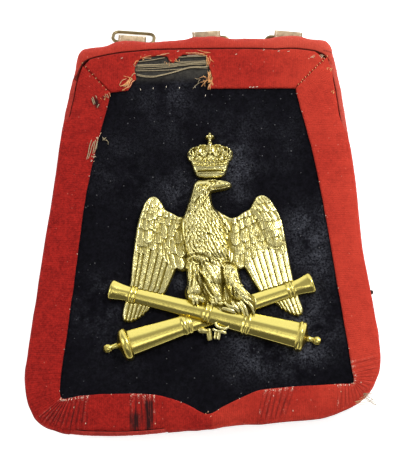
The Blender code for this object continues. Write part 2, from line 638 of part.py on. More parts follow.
def back_panel():
    """Flat on the table, rising near the top to meet the rolled end of the flap."""
    across = np.linspace(POUCH_LEFT[0], POUCH_RIGHT[0], 11)
    rows = np.asarray(BAND)
    edge = np.interp(across, rows[4:-4, 2], rows[4:-4, 3]) + LIP_TO_ROLL
    plan, height, lines = [], [], []
    for behind in (-0.5, 7.0, 13.0, 19.0, 25.0, 31.0, 37.0):
        first = len(plan)
        spread = np.interp(edge - behind, [-130.0, 150.0], [0.0, 1.0])
        left = POUCH_LEFT[1] + (POUCH_LEFT[0] - POUCH_LEFT[1]) * spread[0]
        right = POUCH_RIGHT[1] + (POUCH_RIGHT[0] - POUCH_RIGHT[1]) * spread[-1]
        x = np.linspace(left, right, 11)
        plan += np.column_stack([x, edge - behind]).tolist()
        height += [BACK_RISE * (1 - float(ease((behind - 7.0) / 30.0)))] * 11
        lines.append(list(range(first, first + 11)))
    first = len(plan)
    body = pouch_outline(0.0, 96.0)
    plan += [list(p) for p in body]
    height += [0.0] * len(body)
    around = list(range(first, len(plan)))
    left_side = [line[0] for line in lines[1:]]
    right_side = [line[-1] for line in lines[1:]]
    loop = lines[0][::-1] + left_side + around + right_side[::-1]
    plan, height = np.array(plan), np.array(height)
    front = np.column_stack([plan, height + BACK_THICK])
    back = np.column_stack([plan, height])
    return plate("back_panel", plan, front, back, [loop], lines[1:], "black_leather")


def pocket():
    """Moulded leather front of the pouch: a sewn flange, walls, a flat top panel, open at the mouth."""
    levels = [
        (POCKET_INSET, 0.0, BACK_THICK + FIT + POCKET_WALL, BACK_THICK + FIT),
        (POCKET_INSET + 6.0, 2.0, BACK_THICK + FIT + POCKET_WALL, BACK_THICK + FIT),
        (POCKET_INSET + 9.0, 1.7, 11.0, 9.4),
        (POCKET_INSET + 13.0, 0.9, 15.6, 13.7),
        (POCKET_INSET + 18.0, 0.3, POCKET_TOP, POCKET_TOP - POCKET_WALL),
    ]
    plan, front, back, rows = [], [], [], []
    for inset, shift, high, low in levels:
        first = len(plan)
        upper = pouch_outline(inset, POCKET_MOUTH)
        under = pouch_outline(inset + shift, POCKET_MOUTH)
        plan += [list(p) for p in upper]
        front += [(x, y, high) for x, y in upper]
        back += [(x, y, low) for x, y in under]
        rows.append(list(range(first, len(plan))))
    left_end = [row[0] for row in rows]
    right_end = [row[-1] for row in rows]
    loop = rows[0] + right_end[1:] + left_end[:0:-1]
    return plate("pocket", plan, front, back, [loop], rows[1:], "black_leather")


def turned(points, centre, degrees):
    """Points turned about a vertical line through the centre."""
    a = math.radians(degrees)
    turn = np.array([[math.cos(a), math.sin(a), 0], [-math.sin(a), math.cos(a), 0], [0, 0, 1]])
    return (np.asarray(points, float) - centre) @ turn + centre


def ring_loop(name, x, y, turn):
    """Strap folded round the ring's bar: a tube with a two-ply tail that goes in under the band."""
    outer = [(LOOP_OUTER * math.cos(a), LOOP_OUTER * math.sin(a)) for a in np.radians(np.arange(-150, 151, 25))]
    low, high = TAIL_LOW - PIVOT_Z, TAIL_HIGH - PIVOT_Z
    outer = [p for p in outer if not (p[0] < 0 and low - 0.4 < p[1] < high + 0.6)]
    join_low = -math.sqrt(max(LOOP_OUTER**2 - low**2, 0.01))
    join_high = -math.sqrt(LOOP_OUTER**2 - high**2)
    outer = [(join_low, low)] + outer + [(join_high, high), (-TAIL_LENGTH, high), (-TAIL_LENGTH, low)]
    bore = [(LOOP_BORE * math.cos(a), LOOP_BORE * math.sin(a)) for a in np.radians(np.arange(0, 360, 40))]
    plan = outer + bore
    centre = np.array([x, y, PIVOT_Z])
    front = turned([(x + LOOP_HALF, y + p, PIVOT_Z + q) for p, q in plan], centre, turn)
    back = turned([(x - LOOP_HALF, y + p, PIVOT_Z + q) for p, q in plan], centre, turn)
    loops = [list(range(len(outer))), list(range(len(outer), len(plan)))]
    return plate("loop_" + name, plan, front, back, loops, [], "buff_leather")


def ring(name, x, y, turn, rest, shift):
    """Round wire bent to a rounded oblong, hung in the loop by one long side; origin on its axis."""
    half = RING_WIDTH / 2 - WIRE / 2
    path = []
    for cx, cy, start in ((half, RING_REACH, 0), (-half, RING_REACH, 90), (-half, 0.0, 180), (half, 0.0, 270)):
        mid_x = cx - math.copysign(RING_CORNER, cx)
        mid_y = cy - RING_CORNER if cy > 0 else cy + RING_CORNER
        for step in (0, 30, 60, 90):
            a = math.radians(start + step)
            path.append((mid_x + RING_CORNER * math.cos(a), mid_y + RING_CORNER * math.sin(a)))
    path = np.array(path)
    way = np.roll(path, -1, axis=0) - np.roll(path, 1, axis=0)
    way /= np.linalg.norm(way, axis=1, keepdims=True)
    side = np.column_stack([way[:, 1], -way[:, 0]])
    sections = []
    for point, out in zip(path, side):
        angles = np.radians(np.arange(22.5, 360, 45))
        flat = point + np.outer(np.cos(angles), out) * WIRE / 2
        sections.append(np.column_stack([flat, np.sin(angles) * WIRE / 2]))
    sections = np.array(sections)
    a = math.radians(rest)
    swing = np.array([[1, 0, 0], [0, math.cos(a), math.sin(a)], [0, -math.sin(a), math.cos(a)]])
    centre = np.array([x, y, PIVOT_Z])
    placed = (sections.reshape(-1, 3) + np.array([shift, 0, 0])) @ swing + centre
    placed = turned(placed, centre, turn).reshape(sections.shape)
    return swept_solid("ring_" + name, placed, "dull_brass", closed=True, sharp=60.0, origin=centre)


def side_tab():
    """End of a leather strap that comes out from behind the flap at the right."""
    x, y = TAB_CENTRE
    along = np.linspace(x - TAB_LENGTH / 2, x + TAB_LENGTH / 2, 4)
    lift = np.array([0.0, 0.0, 1.5, 4.5])
    front = np.array([np.column_stack([along, np.full(4, y - 1.6), 6.9 + lift]),
                      np.column_stack([along, np.full(4, y + 1.6), 6.9 + lift])])
    back = front - np.array([0, 0, 2.0])
    return grid_solid("side_tab", front, back, "black_leather")


def barrel_frame(ends):
    start, end = np.array(ends[:2]), np.array(ends[2:])
    length = np.linalg.norm(end - start)
    way = (end - start) / length
    return start, way, np.array([-way[1], way[0]]), length


def barrel(name, ends, profile):
    """Half-round cannon barrel, turned on its profile and flattened a little, with a flat back."""
    start, way, side, length = barrel_frame(ends)
    angles = np.linspace(0, math.pi, BARREL_SEGMENTS + 1)
    front = []
    for share, radius in profile:
        middle = start + way * share * length
        spots = middle + np.outer(np.cos(angles), side) * radius
        height = BADGE_BACK + BARREL_EDGE + BARREL_FLAT * radius * np.sin(angles)
        front.append(np.column_stack([spots, height]))
    sections = np.array(front)
    left, right = sections[:, :1].copy(), sections[:, -1:].copy()
    left[..., 2] = BADGE_BACK
    right[..., 2] = BADGE_BACK
    return swept_solid(name, np.concatenate([left, sections, right], axis=1), "polished_brass", sharp=28.0)


def barrel_outline(ends, profile, grow, first=-0.02, last=1.13):
    """Plan outline of a barrel grown by a clearance, between two shares of its length."""
    start, way, side, length = barrel_frame(ends)
    shares = [first] + [s for s, _ in profile if first < s < last] + [last]
    radii = np.interp(shares, [s for s, _ in profile], [r for _, r in profile]) + grow
    up = [start + way * s * length + side * r for s, r in zip(shares, radii)]
    down = [start + way * s * length - side * r for s, r in zip(shares, radii)]
    return up + down[::-1]


def grown(points, amount):
    """Closed outline, counter-clockwise, moved outward by a small amount."""
    points = np.asarray(points, float)
    way = np.roll(points, -1, axis=0) - points
    way /= np.linalg.norm(way, axis=1, keepdims=True)
    out = np.column_stack([way[:, 1], -way[:, 0]])
    both = out + np.roll(out, 1, axis=0)
    scale = np.maximum(np.linalg.norm(both, axis=1, keepdims=True) ** 2 / 2, 0.7)
    return points + both / scale * amount


def cutter(name, outline, low, high):
    """Hidden prism that a Boolean takes away from a badge piece."""
    loop = list(range(len(outline)))
    plan = np.asarray(outline, float)
    front = np.column_stack([plan, np.full(len(plan), high)])
    back = np.column_stack([plan, np.full(len(plan), low)])
    obj = plate(name, plan, front, back, [loop], [], None)
    obj.hide_render = True
    obj.display_type = "WIRE"
    return obj


def cut(obj, tool):
    change = obj.modifiers.new(tool.name, "BOOLEAN")
    change.operation = "DIFFERENCE"
    change.solver = "EXACT"
    change.object = tool


def scallops(row):
    """Points of one row of covert tips: a chain of shallow bows."""
    x0, y0, x1, y1, count, depth = row
    start, end = np.array([x0, y0]), np.array([x1, y1])
    points = []
    for k in range(count):
        for share in (0.0, 0.25, 0.5, 0.75):
            point = start + (end - start) * (k + share) / count
            points.append(point - np.array([0.0, depth * math.sin(math.pi * share)]))
    return points + [end]


def form_height(points):
    """Height of the bird over the badge's back: tapered round forms over a thin plate."""
    points = np.asarray(points, float)
    height = np.full(len(points), WING_BASE)
    for x0, y0, r0, x1, y1, r1, rise in FORMS:
        a, b = np.array([x0, y0]), np.array([x1, y1])
        share = np.clip((points - a) @ (b - a) / ((b - a) @ (b - a)), 0, 1)
        apart = np.linalg.norm(points - (a + share[:, None] * (b - a)), axis=1)
        radius = r0 + (r1 - r0) * share
        dome = rise * np.sqrt(np.clip(1 - (apart / radius) ** 2, 0, 1))
        height = np.maximum(height, dome)
    return height


def eagle():
    """Spread eagle with its head to the right: outline, feather grooves and a spread of inner points."""
    left_tips = [(x, y) for _, _, _, _, x, y in LEFT_GROOVES]
    right_tips = [(x, y) for _, _, _, _, x, y in RIGHT_GROOVES]

    def lobes(tips):
        out = tips[:1]
        for (ax, ay), (bx, by) in zip(tips, tips[1:]):
            out += [((ax + bx) / 2, (ay + by) / 2 - 1.1), (bx, by)]
        return out

    outline = LEFT_RIM + lobes(left_tips) + LEFT_LEG + FEET + RIGHT_LEG
    outline += lobes(right_tips) + RIGHT_RIM + HEAD
    plan = [tuple(p) for p in outline]
    loop = list(range(len(plan)))
    low_rim = set(loop)
    lines, groove = [], set()

    def nearest(point):
        gaps = np.linalg.norm(np.array(plan[:len(outline)]) - np.array(point), axis=1)
        return int(np.argmin(gaps))

    for table in (LEFT_GROOVES, RIGHT_GROOVES):
        for x0, y0, x1, y1, x2, y2 in table:
            line = []
            for share in (0.0, 0.25, 0.5, 0.75):
                point = curve([(x0, y0), (x1, y1), (x2, y2)], [2 * share])[0]
                line.append(len(plan))
                plan.append(tuple(point))
            groove.update(line)
            lines.append(line + [nearest((x2, y2))])
    for row in COVERTS:
        points = scallops(row)
        keep = inside(points, [outline])
        line = []
        for point, good in zip(points, keep):
            edge_gap = np.min(np.linalg.norm(np.array(outline) - point, axis=1))
            if good and edge_gap > 0.8:
                line.append(len(plan))
                plan.append(tuple(point))
        groove.update(line)
        lines.append(line)
    fixed = np.array(plan)
    low, high = fixed.min(axis=0), fixed.max(axis=0)
    spots = []
    for r, y in enumerate(np.arange(low[1] + 1, high[1], EAGLE_STEP * 0.87)):
        for x in np.arange(low[0] + (r % 2) * EAGLE_STEP / 2, high[0], EAGLE_STEP):
            spots.append((x, y))
    spots = np.array(spots)
    spots = spots[inside(spots, [outline])]
    gap = np.min(np.linalg.norm(spots[:, None] - fixed[None], axis=2), axis=1)
    spots = spots[gap > EAGLE_STEP * 0.5]
    plan = np.vstack([fixed, spots])
    height = form_height(plan)
    for k in low_rim:
        height[k] = max(WING_EDGE, height[k] * 0.45)
    for k in groove:
        height[k] -= GROOVE_DEPTH
    front = np.column_stack([plan, BADGE_BACK + height])
    back = np.column_stack([plan, np.full(len(plan), BADGE_BACK)])
    return plate("badge_eagle", plan, front, back, [loop], lines, "frosted_brass", sharp=18.0, flat_back=True)


def crown():
    """Royal crown as a relief: base ring, jewelled band, arches, orb and cross."""
    right = [(CROWN_MIDDLE + x, y) for x, y in CROWN_HALF]
    left = [(CROWN_MIDDLE - x, y) for x, y in CROWN_HALF[::-1]]
    outline = right + left
    plan = list(outline)
    loop = list(range(len(plan)))
    height = [2.2] * len(plan)
    lines = []
    for half, mid_y, side_y, rise in CROWN_LINES:
        line = []
        for share in (-0.9, -0.6, -0.3, 0.0, 0.3, 0.6, 0.9):
            line.append(len(plan))
            plan.append((CROWN_MIDDLE + half * share, mid_y + (side_y - mid_y) * share**2))
            height.append(1.0 + rise * math.sqrt(1 - 0.7 * share**2))
        lines.append(line)
    for reach in (-0.85, -0.45, 0.0, 0.45, 0.85):
        line = []
        for share in (0.25, 0.6, 0.92):
            line.append(len(plan))
            x = CROWN_MIDDLE + 16.0 * reach * math.cos(share * 1.25)
            plan.append((x, 65.9 + 7.0 * math.sin(share * 1.45)))
            height.append(6.2 - 2.4 * share**2 - 1.6 * reach**2)
        lines.append(line)
    lines.append([len(plan), len(plan) + 1])
    plan += [(CROWN_MIDDLE, 75.0), (CROWN_MIDDLE, 80.0)]
    height += [3.6, 3.2]
    plan = np.array(plan)
    front = np.column_stack([plan, BADGE_BACK + np.array(height)])
    back = np.column_stack([plan, np.full(len(plan), BADGE_BACK)])
    return plate("badge_crown", plan, front, back, [loop], lines, "frosted_brass", sharp=18.0, flat_back=True)


def badge():
    """The castings lap: a thin web of the lower one runs under a shallow notch of the upper one."""
    low, high = BADGE_BACK - 5.0, BADGE_BACK + 30.0
    web, notch = BADGE_BACK + WEB, BADGE_BACK + WEB + FIT
    bird = eagle()
    front = barrel("badge_cannon_front", FRONT_BARREL, FRONT_PROFILE)
    rear = barrel("badge_cannon_rear", REAR_BARREL, REAR_PROFILE)
    front_plan = barrel_outline(FRONT_BARREL, FRONT_PROFILE, FIT)
    rear_plan = barrel_outline(REAR_BARREL, REAR_PROFILE, FIT)
    left_wing = [(-68.5, -68.0), (-60.5, -32.0), (-24.5, -32.0), (-30.5, -44.8), (-38.5, -52.6), (-46.0, -62.5)]
    right_wing = [(77.5, -68.0), (53.0, -60.5), (46.8, -53.2), (39.8, -46.8), (32.5, -30.0), (68.2, -30.0)]
    stand = grown([(-17.0, -44.0), LEFT_LEG[-1]] + FEET + [RIGHT_LEG[0], (33.0, -44.0)], FIT + 0.1)
    cut(bird, cutter("cut_left_wing", barrel_outline(FRONT_BARREL, FRONT_PROFILE, FIT, -0.02, 0.345), web, high))
    cut(bird, cutter("cut_right_wing", barrel_outline(REAR_BARREL, REAR_PROFILE, FIT, -0.02, 0.285), web, high))
    cut(bird, cutter("cut_bird_back", barrel_outline(REAR_BARREL, REAR_PROFILE, FIT, 0.29, 0.75), low, notch))
    cut(rear, cutter("cut_rear_crossing", front_plan, web, high))
    cut(rear, cutter("cut_rear_feet", stand, web, high))
    cut(rear, cutter("cut_rear_back", right_wing, low, notch))
    cut(front, cutter("cut_front_feet", stand, low, high))
    cut(front, cutter("cut_front_back", rear_plan, low, notch))
    cut(front, cutter("cut_front_wing", left_wing, low, notch))
    crown()


clear_scene()
back_panel()
pocket()
side_tab()
covered_sheet("flap_leather", FLAP_BACK, FLAP_THICK, "black_leather", roll=True)
covered_sheet("face_cloth", CLOTH_BACK, CLOTH_THICK, "black_cloth", roll=False)
lace_sides()
lace_top()
top_band()
edge_piping()
for loop_name, px, py, yaw, angle, slide in LOOPS:
    ring_loop(loop_name, px, py, yaw)
    ring(loop_name, px, py, yaw, angle, slide)
badge()
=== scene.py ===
import math

import bmesh
import bpy
import numpy as np
from mathutils import Matrix


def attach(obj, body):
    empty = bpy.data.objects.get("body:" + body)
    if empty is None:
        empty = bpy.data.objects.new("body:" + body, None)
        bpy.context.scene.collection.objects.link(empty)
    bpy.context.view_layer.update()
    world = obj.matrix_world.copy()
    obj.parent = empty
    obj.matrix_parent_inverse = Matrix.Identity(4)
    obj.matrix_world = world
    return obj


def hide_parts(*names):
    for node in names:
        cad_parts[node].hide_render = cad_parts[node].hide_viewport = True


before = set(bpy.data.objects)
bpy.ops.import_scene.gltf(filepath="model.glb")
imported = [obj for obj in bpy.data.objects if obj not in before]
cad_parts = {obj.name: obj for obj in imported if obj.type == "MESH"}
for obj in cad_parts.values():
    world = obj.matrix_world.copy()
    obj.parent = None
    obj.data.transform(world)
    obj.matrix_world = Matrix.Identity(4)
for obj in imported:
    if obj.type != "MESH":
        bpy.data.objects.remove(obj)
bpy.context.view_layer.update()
BODY = "pouch"

# The table, the light and the camera. The pouch lies on its back on a white light table, in a room that is
# bright beyond it and dim behind the camera; the camera stands 76 degrees above the table.
TABLE_HALF, TABLE_TOP = 5.0, -0.0002
floor_mesh = bpy.data.meshes.new("table_sheet")
corners = [(x * TABLE_HALF, y * TABLE_HALF, TABLE_TOP) for x, y in ((-1, -1), (1, -1), (1, 1), (-1, 1))]
floor_mesh.from_pydata(corners, [], [(0, 1, 2, 3)])
floor = bpy.data.objects.new("table_sheet", floor_mesh)
bpy.context.collection.objects.link(floor)


def fill(made, inputs):
    """Gives a shader node its inputs: a value that is a socket is linked, any other is set."""
    for key, value in inputs.items():
        if isinstance(value, bpy.types.NodeSocket):
            made.id_data.links.new(value, made.inputs[key])
        else:
            made.inputs[key].default_value = value
    return made


def node(tree, kind, inputs=None, **settings):
    """New shader node with its settings and its inputs."""
    made = tree.nodes.new(kind)
    for key, value in settings.items():
        setattr(made, key, value)
    return fill(made, inputs or {})


def finish(name, **constants):
    """New material: its tree and its Principled BSDF, with the constant inputs set on the shader itself."""
    made = bpy.data.materials.new(name)
    made.use_nodes = True
    shader = fill(made.node_tree.nodes["Principled BSDF"],
                  {key.replace("_", " "): value for key, value in constants.items()})
    return made, made.node_tree, shader


def math_node(tree, what, a, b=0.0, clamp=False):
    """Output of one Math node."""
    return node(tree, "ShaderNodeMath", {0: a, 1: b}, operation=what, use_clamp=clamp).outputs[0]


def product(tree, *values):
    """Values multiplied together."""
    total = values[0]
    for value in values[1:]:
        total = math_node(tree, "MULTIPLY", total, value)
    return total


def mix(tree, share, a, b):
    """Colour between a and b."""
    return node(tree, "ShaderNodeMix", {0: share, "A": a, "B": b}, data_type="RGBA").outputs["Result"]


def ramp(tree, value, low, high, out_low=0.0, out_high=1.0):
    """Value eased from one range to another."""
    limits = {"Value": value, "From Min": low, "From Max": high, "To Min": out_low, "To Max": out_high}
    return node(tree, "ShaderNodeMapRange", limits, interpolation_type="SMOOTHSTEP").outputs[0]


def place(tree):
    """Object coordinates."""
    return node(tree, "ShaderNodeTexCoord").outputs["Object"]


def noise(tree, vector, scale, detail=3.0, rough=0.55):
    """Output of one noise texture."""
    inputs = {"Vector": vector, "Scale": scale, "Detail": detail, "Roughness": rough}
    return node(tree, "ShaderNodeTexNoise", inputs).outputs["Fac"]


sheet_finish, tree, shader = finish("lit_sheet", Roughness=0.75, Emission_Color=(1.0, 1.0, 1.0, 1.0),
                                    Emission_Strength=0.70)
cloudy = noise(tree, place(tree), 3.0, 2.0, 0.5)
fill(shader, {"Base Color": mix(tree, cloudy, (0.93, 0.93, 0.93, 1), (0.95, 0.95, 0.95, 1))})
floor_mesh.materials.append(sheet_finish)

# the room, by the way that light comes from: bright beyond the pouch, dimmer overhead, dark behind the camera
# with pale panes on both sides of it, and white all round near the horizon
world = bpy.data.worlds.new("soft_room")
bpy.context.scene.world = world
world.use_nodes = True
tree = world.node_tree
way = node(tree, "ShaderNodeSeparateXYZ", {0: node(tree, "ShaderNodeTexCoord").outputs["Generated"]})
east, north, height = way.outputs["X"], way.outputs["Y"], way.outputs["Z"]


def slanted(tree, share):
    """The eastward part of a direction, shifted by a share of its northward part."""
    return node(tree, "ShaderNodeMath", {0: north, 1: share, 2: east}, operation="MULTIPLY_ADD").outputs[0]


def between(tree, value, low, high, blur):
    """1 between two limits and 0 beyond them, eased over the blur on both sides of each."""
    return product(tree, ramp(tree, value, low - blur, low + blur),
                   ramp(tree, value, high - blur, high + blur, 1.0, 0.0))


room = mix(tree, ramp(tree, slanted(tree, 2.5), 1.12, 1.66), (0.44, 0.43, 0.41, 1), (1.22, 1.22, 1.22, 1))
room = mix(tree, ramp(tree, north, -0.60, -0.42), (0.13, 0.125, 0.12, 1), room)
PANES = [
    # lean; west edge, east edge; south edge, north edge; brightness
    (-0.35, -0.07, 0.0, -0.42, 0.04, 1.9), (0.35, 0.11, 0.34, -0.46, 0.04, 0.66),
    (0.35, 0.035, 0.085, -0.40, 0.06, 2.5), (-0.27, -0.09, -0.01, -0.51, -0.33, 3.2),
    (0.32, 0.05, 0.15, -0.50, -0.30, 2.8), (0.32, 0.16, 0.26, -0.88, -0.74, 1.2)]
for lean, west_edge, east_edge, south_edge, north_edge, bright in PANES:
    pane = product(tree, between(tree, slanted(tree, lean), west_edge, east_edge, 0.015),
                   between(tree, north, south_edge, north_edge, 0.04))
    room = mix(tree, pane, room, (bright, bright * 0.98, bright * 0.94, 1))
room = mix(tree, ramp(tree, height, 0.08, 0.30, 1.0, 0.0), room, (1.35, 1.35, 1.35, 1))
fill(tree.nodes["Background"], {"Color": room, "Strength": 1.0})


def posed(data, side, up, back, spot):
    """New lamp or camera at a spot in metres, looking away from its back direction."""
    turn = np.eye(4)
    turn[:3] = np.column_stack([side, up, back, spot])
    made = bpy.data.objects.new(data.name, data)
    made.matrix_world = Matrix(turn.tolist())
    bpy.context.collection.objects.link(made)
    return made


def soft_light(name, spot, width, watts):
    """Square area light at a spot in metres, turned to the middle of the table."""
    data = bpy.data.lights.new(name, "AREA")
    data.size = width
    data.energy = watts
    back = np.array(spot) / np.linalg.norm(spot)
    side = np.cross([0.0, 1.0, 0.02], back)
    side /= np.linalg.norm(side)
    posed(data, side, np.cross(back, side), back, spot)


soft_light("key_light", (0.95, 0.75, 1.25), 0.5, 17.0)
soft_light("left_light", (-1.3, 0.1, 0.9), 0.6, 5.0)

ELEVATION, ROLL = math.radians(76.0), math.radians(1.1)
DISTANCE, AIM = 1.350, np.array([-0.0005, 0.0024, 0.020])
level = np.array([1.0, 0.0, 0.0])
up = np.array([0.0, math.sin(ELEVATION), math.cos(ELEVATION)])
back = np.array([0.0, -math.cos(ELEVATION), math.sin(ELEVATION)])
camera_data = bpy.data.cameras.new("camera")
camera_data.sensor_width = 36.0
camera_data.lens = 132.0
bpy.context.scene.camera = posed(camera_data, math.cos(ROLL) * level - math.sin(ROLL) * up,
                                 math.sin(ROLL) * level + math.cos(ROLL) * up, back, AIM + DISTANCE * back)
bpy.context.scene.view_settings.view_transform = "Standard"

# The pouch behind the flap: a flat back panel that rises at the top, and a moulded pocket sewn to it
# round a flange. Both are black leather about 2 mm thick, plain, worn brown along the edges.
MM = 0.001
POUCH_LEFT, POUCH_RIGHT = (-88.0, -116.0), (91.0, 108.0)         # x at the top and at the bottom
POUCH_TOP, POUCH_BOTTOM, POUCH_CORNER, POUCH_MOUTH = 150.0, -130.0, 34.0, 107.0


def smooth(t):
    """Ease from 0 to 1: 3t^2 - 2t^3 of t held between 0 and 1."""
    t = np.clip(t, 0.0, 1.0)
    return t * t * (3 - 2 * t)


def spline(rows, at):
    """Catmull-Rom curve through the rows of a table, read at row positions such as 2.5."""
    rows = np.asarray(rows, float)
    at = np.clip(np.atleast_1d(np.asarray(at, float)), 0, len(rows) - 1)
    low = np.minimum(at.astype(int), len(rows) - 2)
    f = (at - low)[:, None]
    pad = np.vstack([2 * rows[:1] - rows[1:2], rows, 2 * rows[-1:] - rows[-2:-1]])
    a, b, c, d = pad[low], pad[low + 1], pad[low + 2], pad[low + 3]
    return 0.5 * (2 * b + (c - a) * f + (2 * a - 5 * b + 4 * c - d) * f**2 + (3 * b - a - 3 * c + d) * f**3)


def wander(x, y, size, seed):
    """Smooth random height between -1 and 1: seeded values on a lattice of the given size, eased between."""
    field = np.random.default_rng(seed).uniform(-1, 1, (64, 64))
    u, v = np.asarray(x, float) / size + 517.3, np.asarray(y, float) / size + 331.7
    i, j = np.floor(u).astype(int), np.floor(v).astype(int)
    fu, fv = smooth(u - i), smooth(v - j)
    i, j, k, m = i % 64, j % 64, (i + 1) % 64, (j + 1) % 64
    one, other = [field[i, row] * (1 - fu) + field[k, row] * fu for row in (j, m)]
    return one * (1 - fv) + other * fv


def quads(rows, cols, wrap_rows=False, wrap_cols=False):
    """Faces of a grid of rows x cols points, which may close on itself either way."""
    r = np.arange(rows if wrap_rows else rows - 1)
    c = np.arange(cols if wrap_cols else cols - 1)
    r, c = [part.ravel() for part in np.meshgrid(r, c, indexing="ij")]
    r2, c2 = (r + 1) % rows, (c + 1) % cols
    return np.column_stack([r * cols + c, r2 * cols + c, r2 * cols + c2, r * cols + c2])


def walled(front, back, wrap_rows=False):
    """Closed sheet between two grids: front faces, back faces turned round, and a strip along each edge."""
    rows, cols = front.shape[:2]
    total = rows * cols
    faces = [quads(rows, cols, wrap_rows), quads(rows, cols, wrap_rows)[:, ::-1] + total]
    index = np.arange(total).reshape(rows, cols)
    edges = [index[:, 0], index[::-1, -1]] if wrap_rows else [
        np.concatenate([index[:, 0], index[-1, 1:], index[-2::-1, -1], index[0, -2:0:-1]])]
    for edge in edges:
        after = np.roll(edge, -1)
        faces.append(np.column_stack([edge, edge + total, after + total, after])[:, ::-1])
    return np.vstack([front.reshape(-1, 3), back.reshape(-1, 3)]), np.vstack(faces)


def make(name, points, faces, coat, slot, stands_for=(), body=BODY, uv=None, weld=False, sharp=None, **marks):
    """A finished piece from points in millimetres: turned outwards by its signed volume, smooth shaded,
    with a UV map in millimetres and one float attribute for each mark."""
    points, faces = np.asarray(points, float), np.asarray(faces, int)
    a, b, c = points[faces[:, 0]], points[faces[:, 1]], points[faces[:, 2]]
    volume = np.einsum("ij,ij->", a, np.cross(b, c))
    if faces.shape[1] == 4:
        volume += np.einsum("ij,ij->", a, np.cross(c, points[faces[:, 3]]))
    if volume < 0:
        faces = faces[:, ::-1]
    sides = faces.shape[1]
    mesh = bpy.data.meshes.new(name)
    mesh.vertices.add(len(points))
    mesh.vertices.foreach_set("co", (points * MM).ravel())
    mesh.loops.add(faces.size)
    mesh.loops.foreach_set("vertex_index", faces.ravel())
    mesh.polygons.add(len(faces))
    mesh.polygons.foreach_set("loop_start", np.arange(0, faces.size, sides))
    mesh.update(calc_edges=True)
    mesh.validate()
    if uv is not None:
        layer = mesh.uv_layers.new(name="cut")
        corner = np.empty(len(mesh.loops), int)
        mesh.loops.foreach_get("vertex_index", corner)
        layer.data.foreach_set("uv", np.asarray(uv, float)[corner].ravel())
    for key, values in marks.items():
        layer = mesh.attributes.new(key, "FLOAT", "POINT")
        layer.data.foreach_set("value", np.asarray(values, float).ravel())
    if weld:
        work = bmesh.new()
        work.from_mesh(mesh)
        bmesh.ops.remove_doubles(work, verts=work.verts, dist=2e-6)
        work.to_mesh(mesh)
        work.free()
    mesh.polygons.foreach_set("use_smooth", [True] * len(mesh.polygons))
    if sharp:
        mesh.set_sharp_from_angle(angle=math.radians(sharp))
    piece = bpy.data.objects.new(name, mesh)
    bpy.context.collection.objects.link(piece)
    mesh.materials.append(coat)
    if stands_for:
        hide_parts(*stands_for)
    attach(piece, body)
    return piece


def group(name, inputs, outputs):
    """New shader node group with named float, vector or colour sockets; returns it, its inputs as they are
    given inside it, and its output node."""
    made = bpy.data.node_groups.new(name, "ShaderNodeTree")
    kinds = {"f": "NodeSocketFloat", "v": "NodeSocketVector", "c": "NodeSocketColor"}
    for side, labels in (("INPUT", inputs), ("OUTPUT", outputs)):
        for label, kind in labels.items():
            made.interface.new_socket(label, in_out=side, socket_type=kinds[kind])
    return made, made.nodes.new("NodeGroupInput").outputs, made.nodes.new("NodeGroupOutput")


def use(tree, made, inputs):
    """One use of a node group with its own values."""
    return node(tree, "ShaderNodeGroup", inputs, node_tree=made)


def added(tree, a, b, clamp=False):
    """Sum of two values."""
    return math_node(tree, "ADD", a, b, clamp)


def mark(tree, name):
    """A mark that make gave to the points of a piece."""
    return node(tree, "ShaderNodeAttribute", attribute_name=name).outputs["Fac"]


def cut_map(tree):
    """The UV map in millimetres."""
    return node(tree, "ShaderNodeUVMap", uv_map="cut").outputs[0]


def bumped(tree, height, distance, strength):
    """Normal roughened by a height."""
    inputs = {"Height": height, "Distance": distance, "Strength": strength}
    return node(tree, "ShaderNodeBump", inputs).outputs[0]


# leather grain: pebbles between fine creases, and broad patches of wear
leather_grain, given, result = group("leather_grain", {"Place": "v", "Pebble": "f"},
                                     {"Height": "f", "Wear": "f"})
cells = node(leather_grain, "ShaderNodeTexVoronoi", {"Vector": given["Place"], "Scale": given["Pebble"]},
             feature="DISTANCE_TO_EDGE")
pebble = ramp(leather_grain, cells.outputs["Distance"], 0.0, 0.35)
fine = noise(leather_grain, given["Place"], 1600.0, 2.0)
broad = noise(leather_grain, given["Place"], 28.0, 4.0, 0.62)
fill(result, {"Height": added(leather_grain, pebble, product(leather_grain, fine, 0.4)),
              "Wear": ramp(leather_grain, broad, 0.47, 0.72)})

# sewing: dashes in a row, from a UV map in millimetres along and off the edge
stitch_row, given, result = group("stitch_row", {"Cut": "v", "Off": "f", "Pitch": "f", "Thick": "f"},
                                  {"Thread": "f", "Groove": "f"})
part = node(stitch_row, "ShaderNodeSeparateXYZ", {0: given["Cut"]}).outputs
beat = math_node(stitch_row, "FRACT", math_node(stitch_row, "DIVIDE", part["X"], given["Pitch"]))
beat = math_node(stitch_row, "ABSOLUTE", math_node(stitch_row, "SUBTRACT", beat, 0.5))
off = math_node(stitch_row, "ABSOLUTE", math_node(stitch_row, "SUBTRACT", part["Y"], given["Off"]))
share = math_node(stitch_row, "DIVIDE", off, given["Thick"])
fill(result, {"Thread": product(stitch_row, ramp(stitch_row, beat, 0.30, 0.40, 1.0, 0.0),
                                ramp(stitch_row, share, 0.35, 0.6, 1.0, 0.0)),
              "Groove": ramp(stitch_row, share, 0.4, 1.6, 1.0, 0.0)})

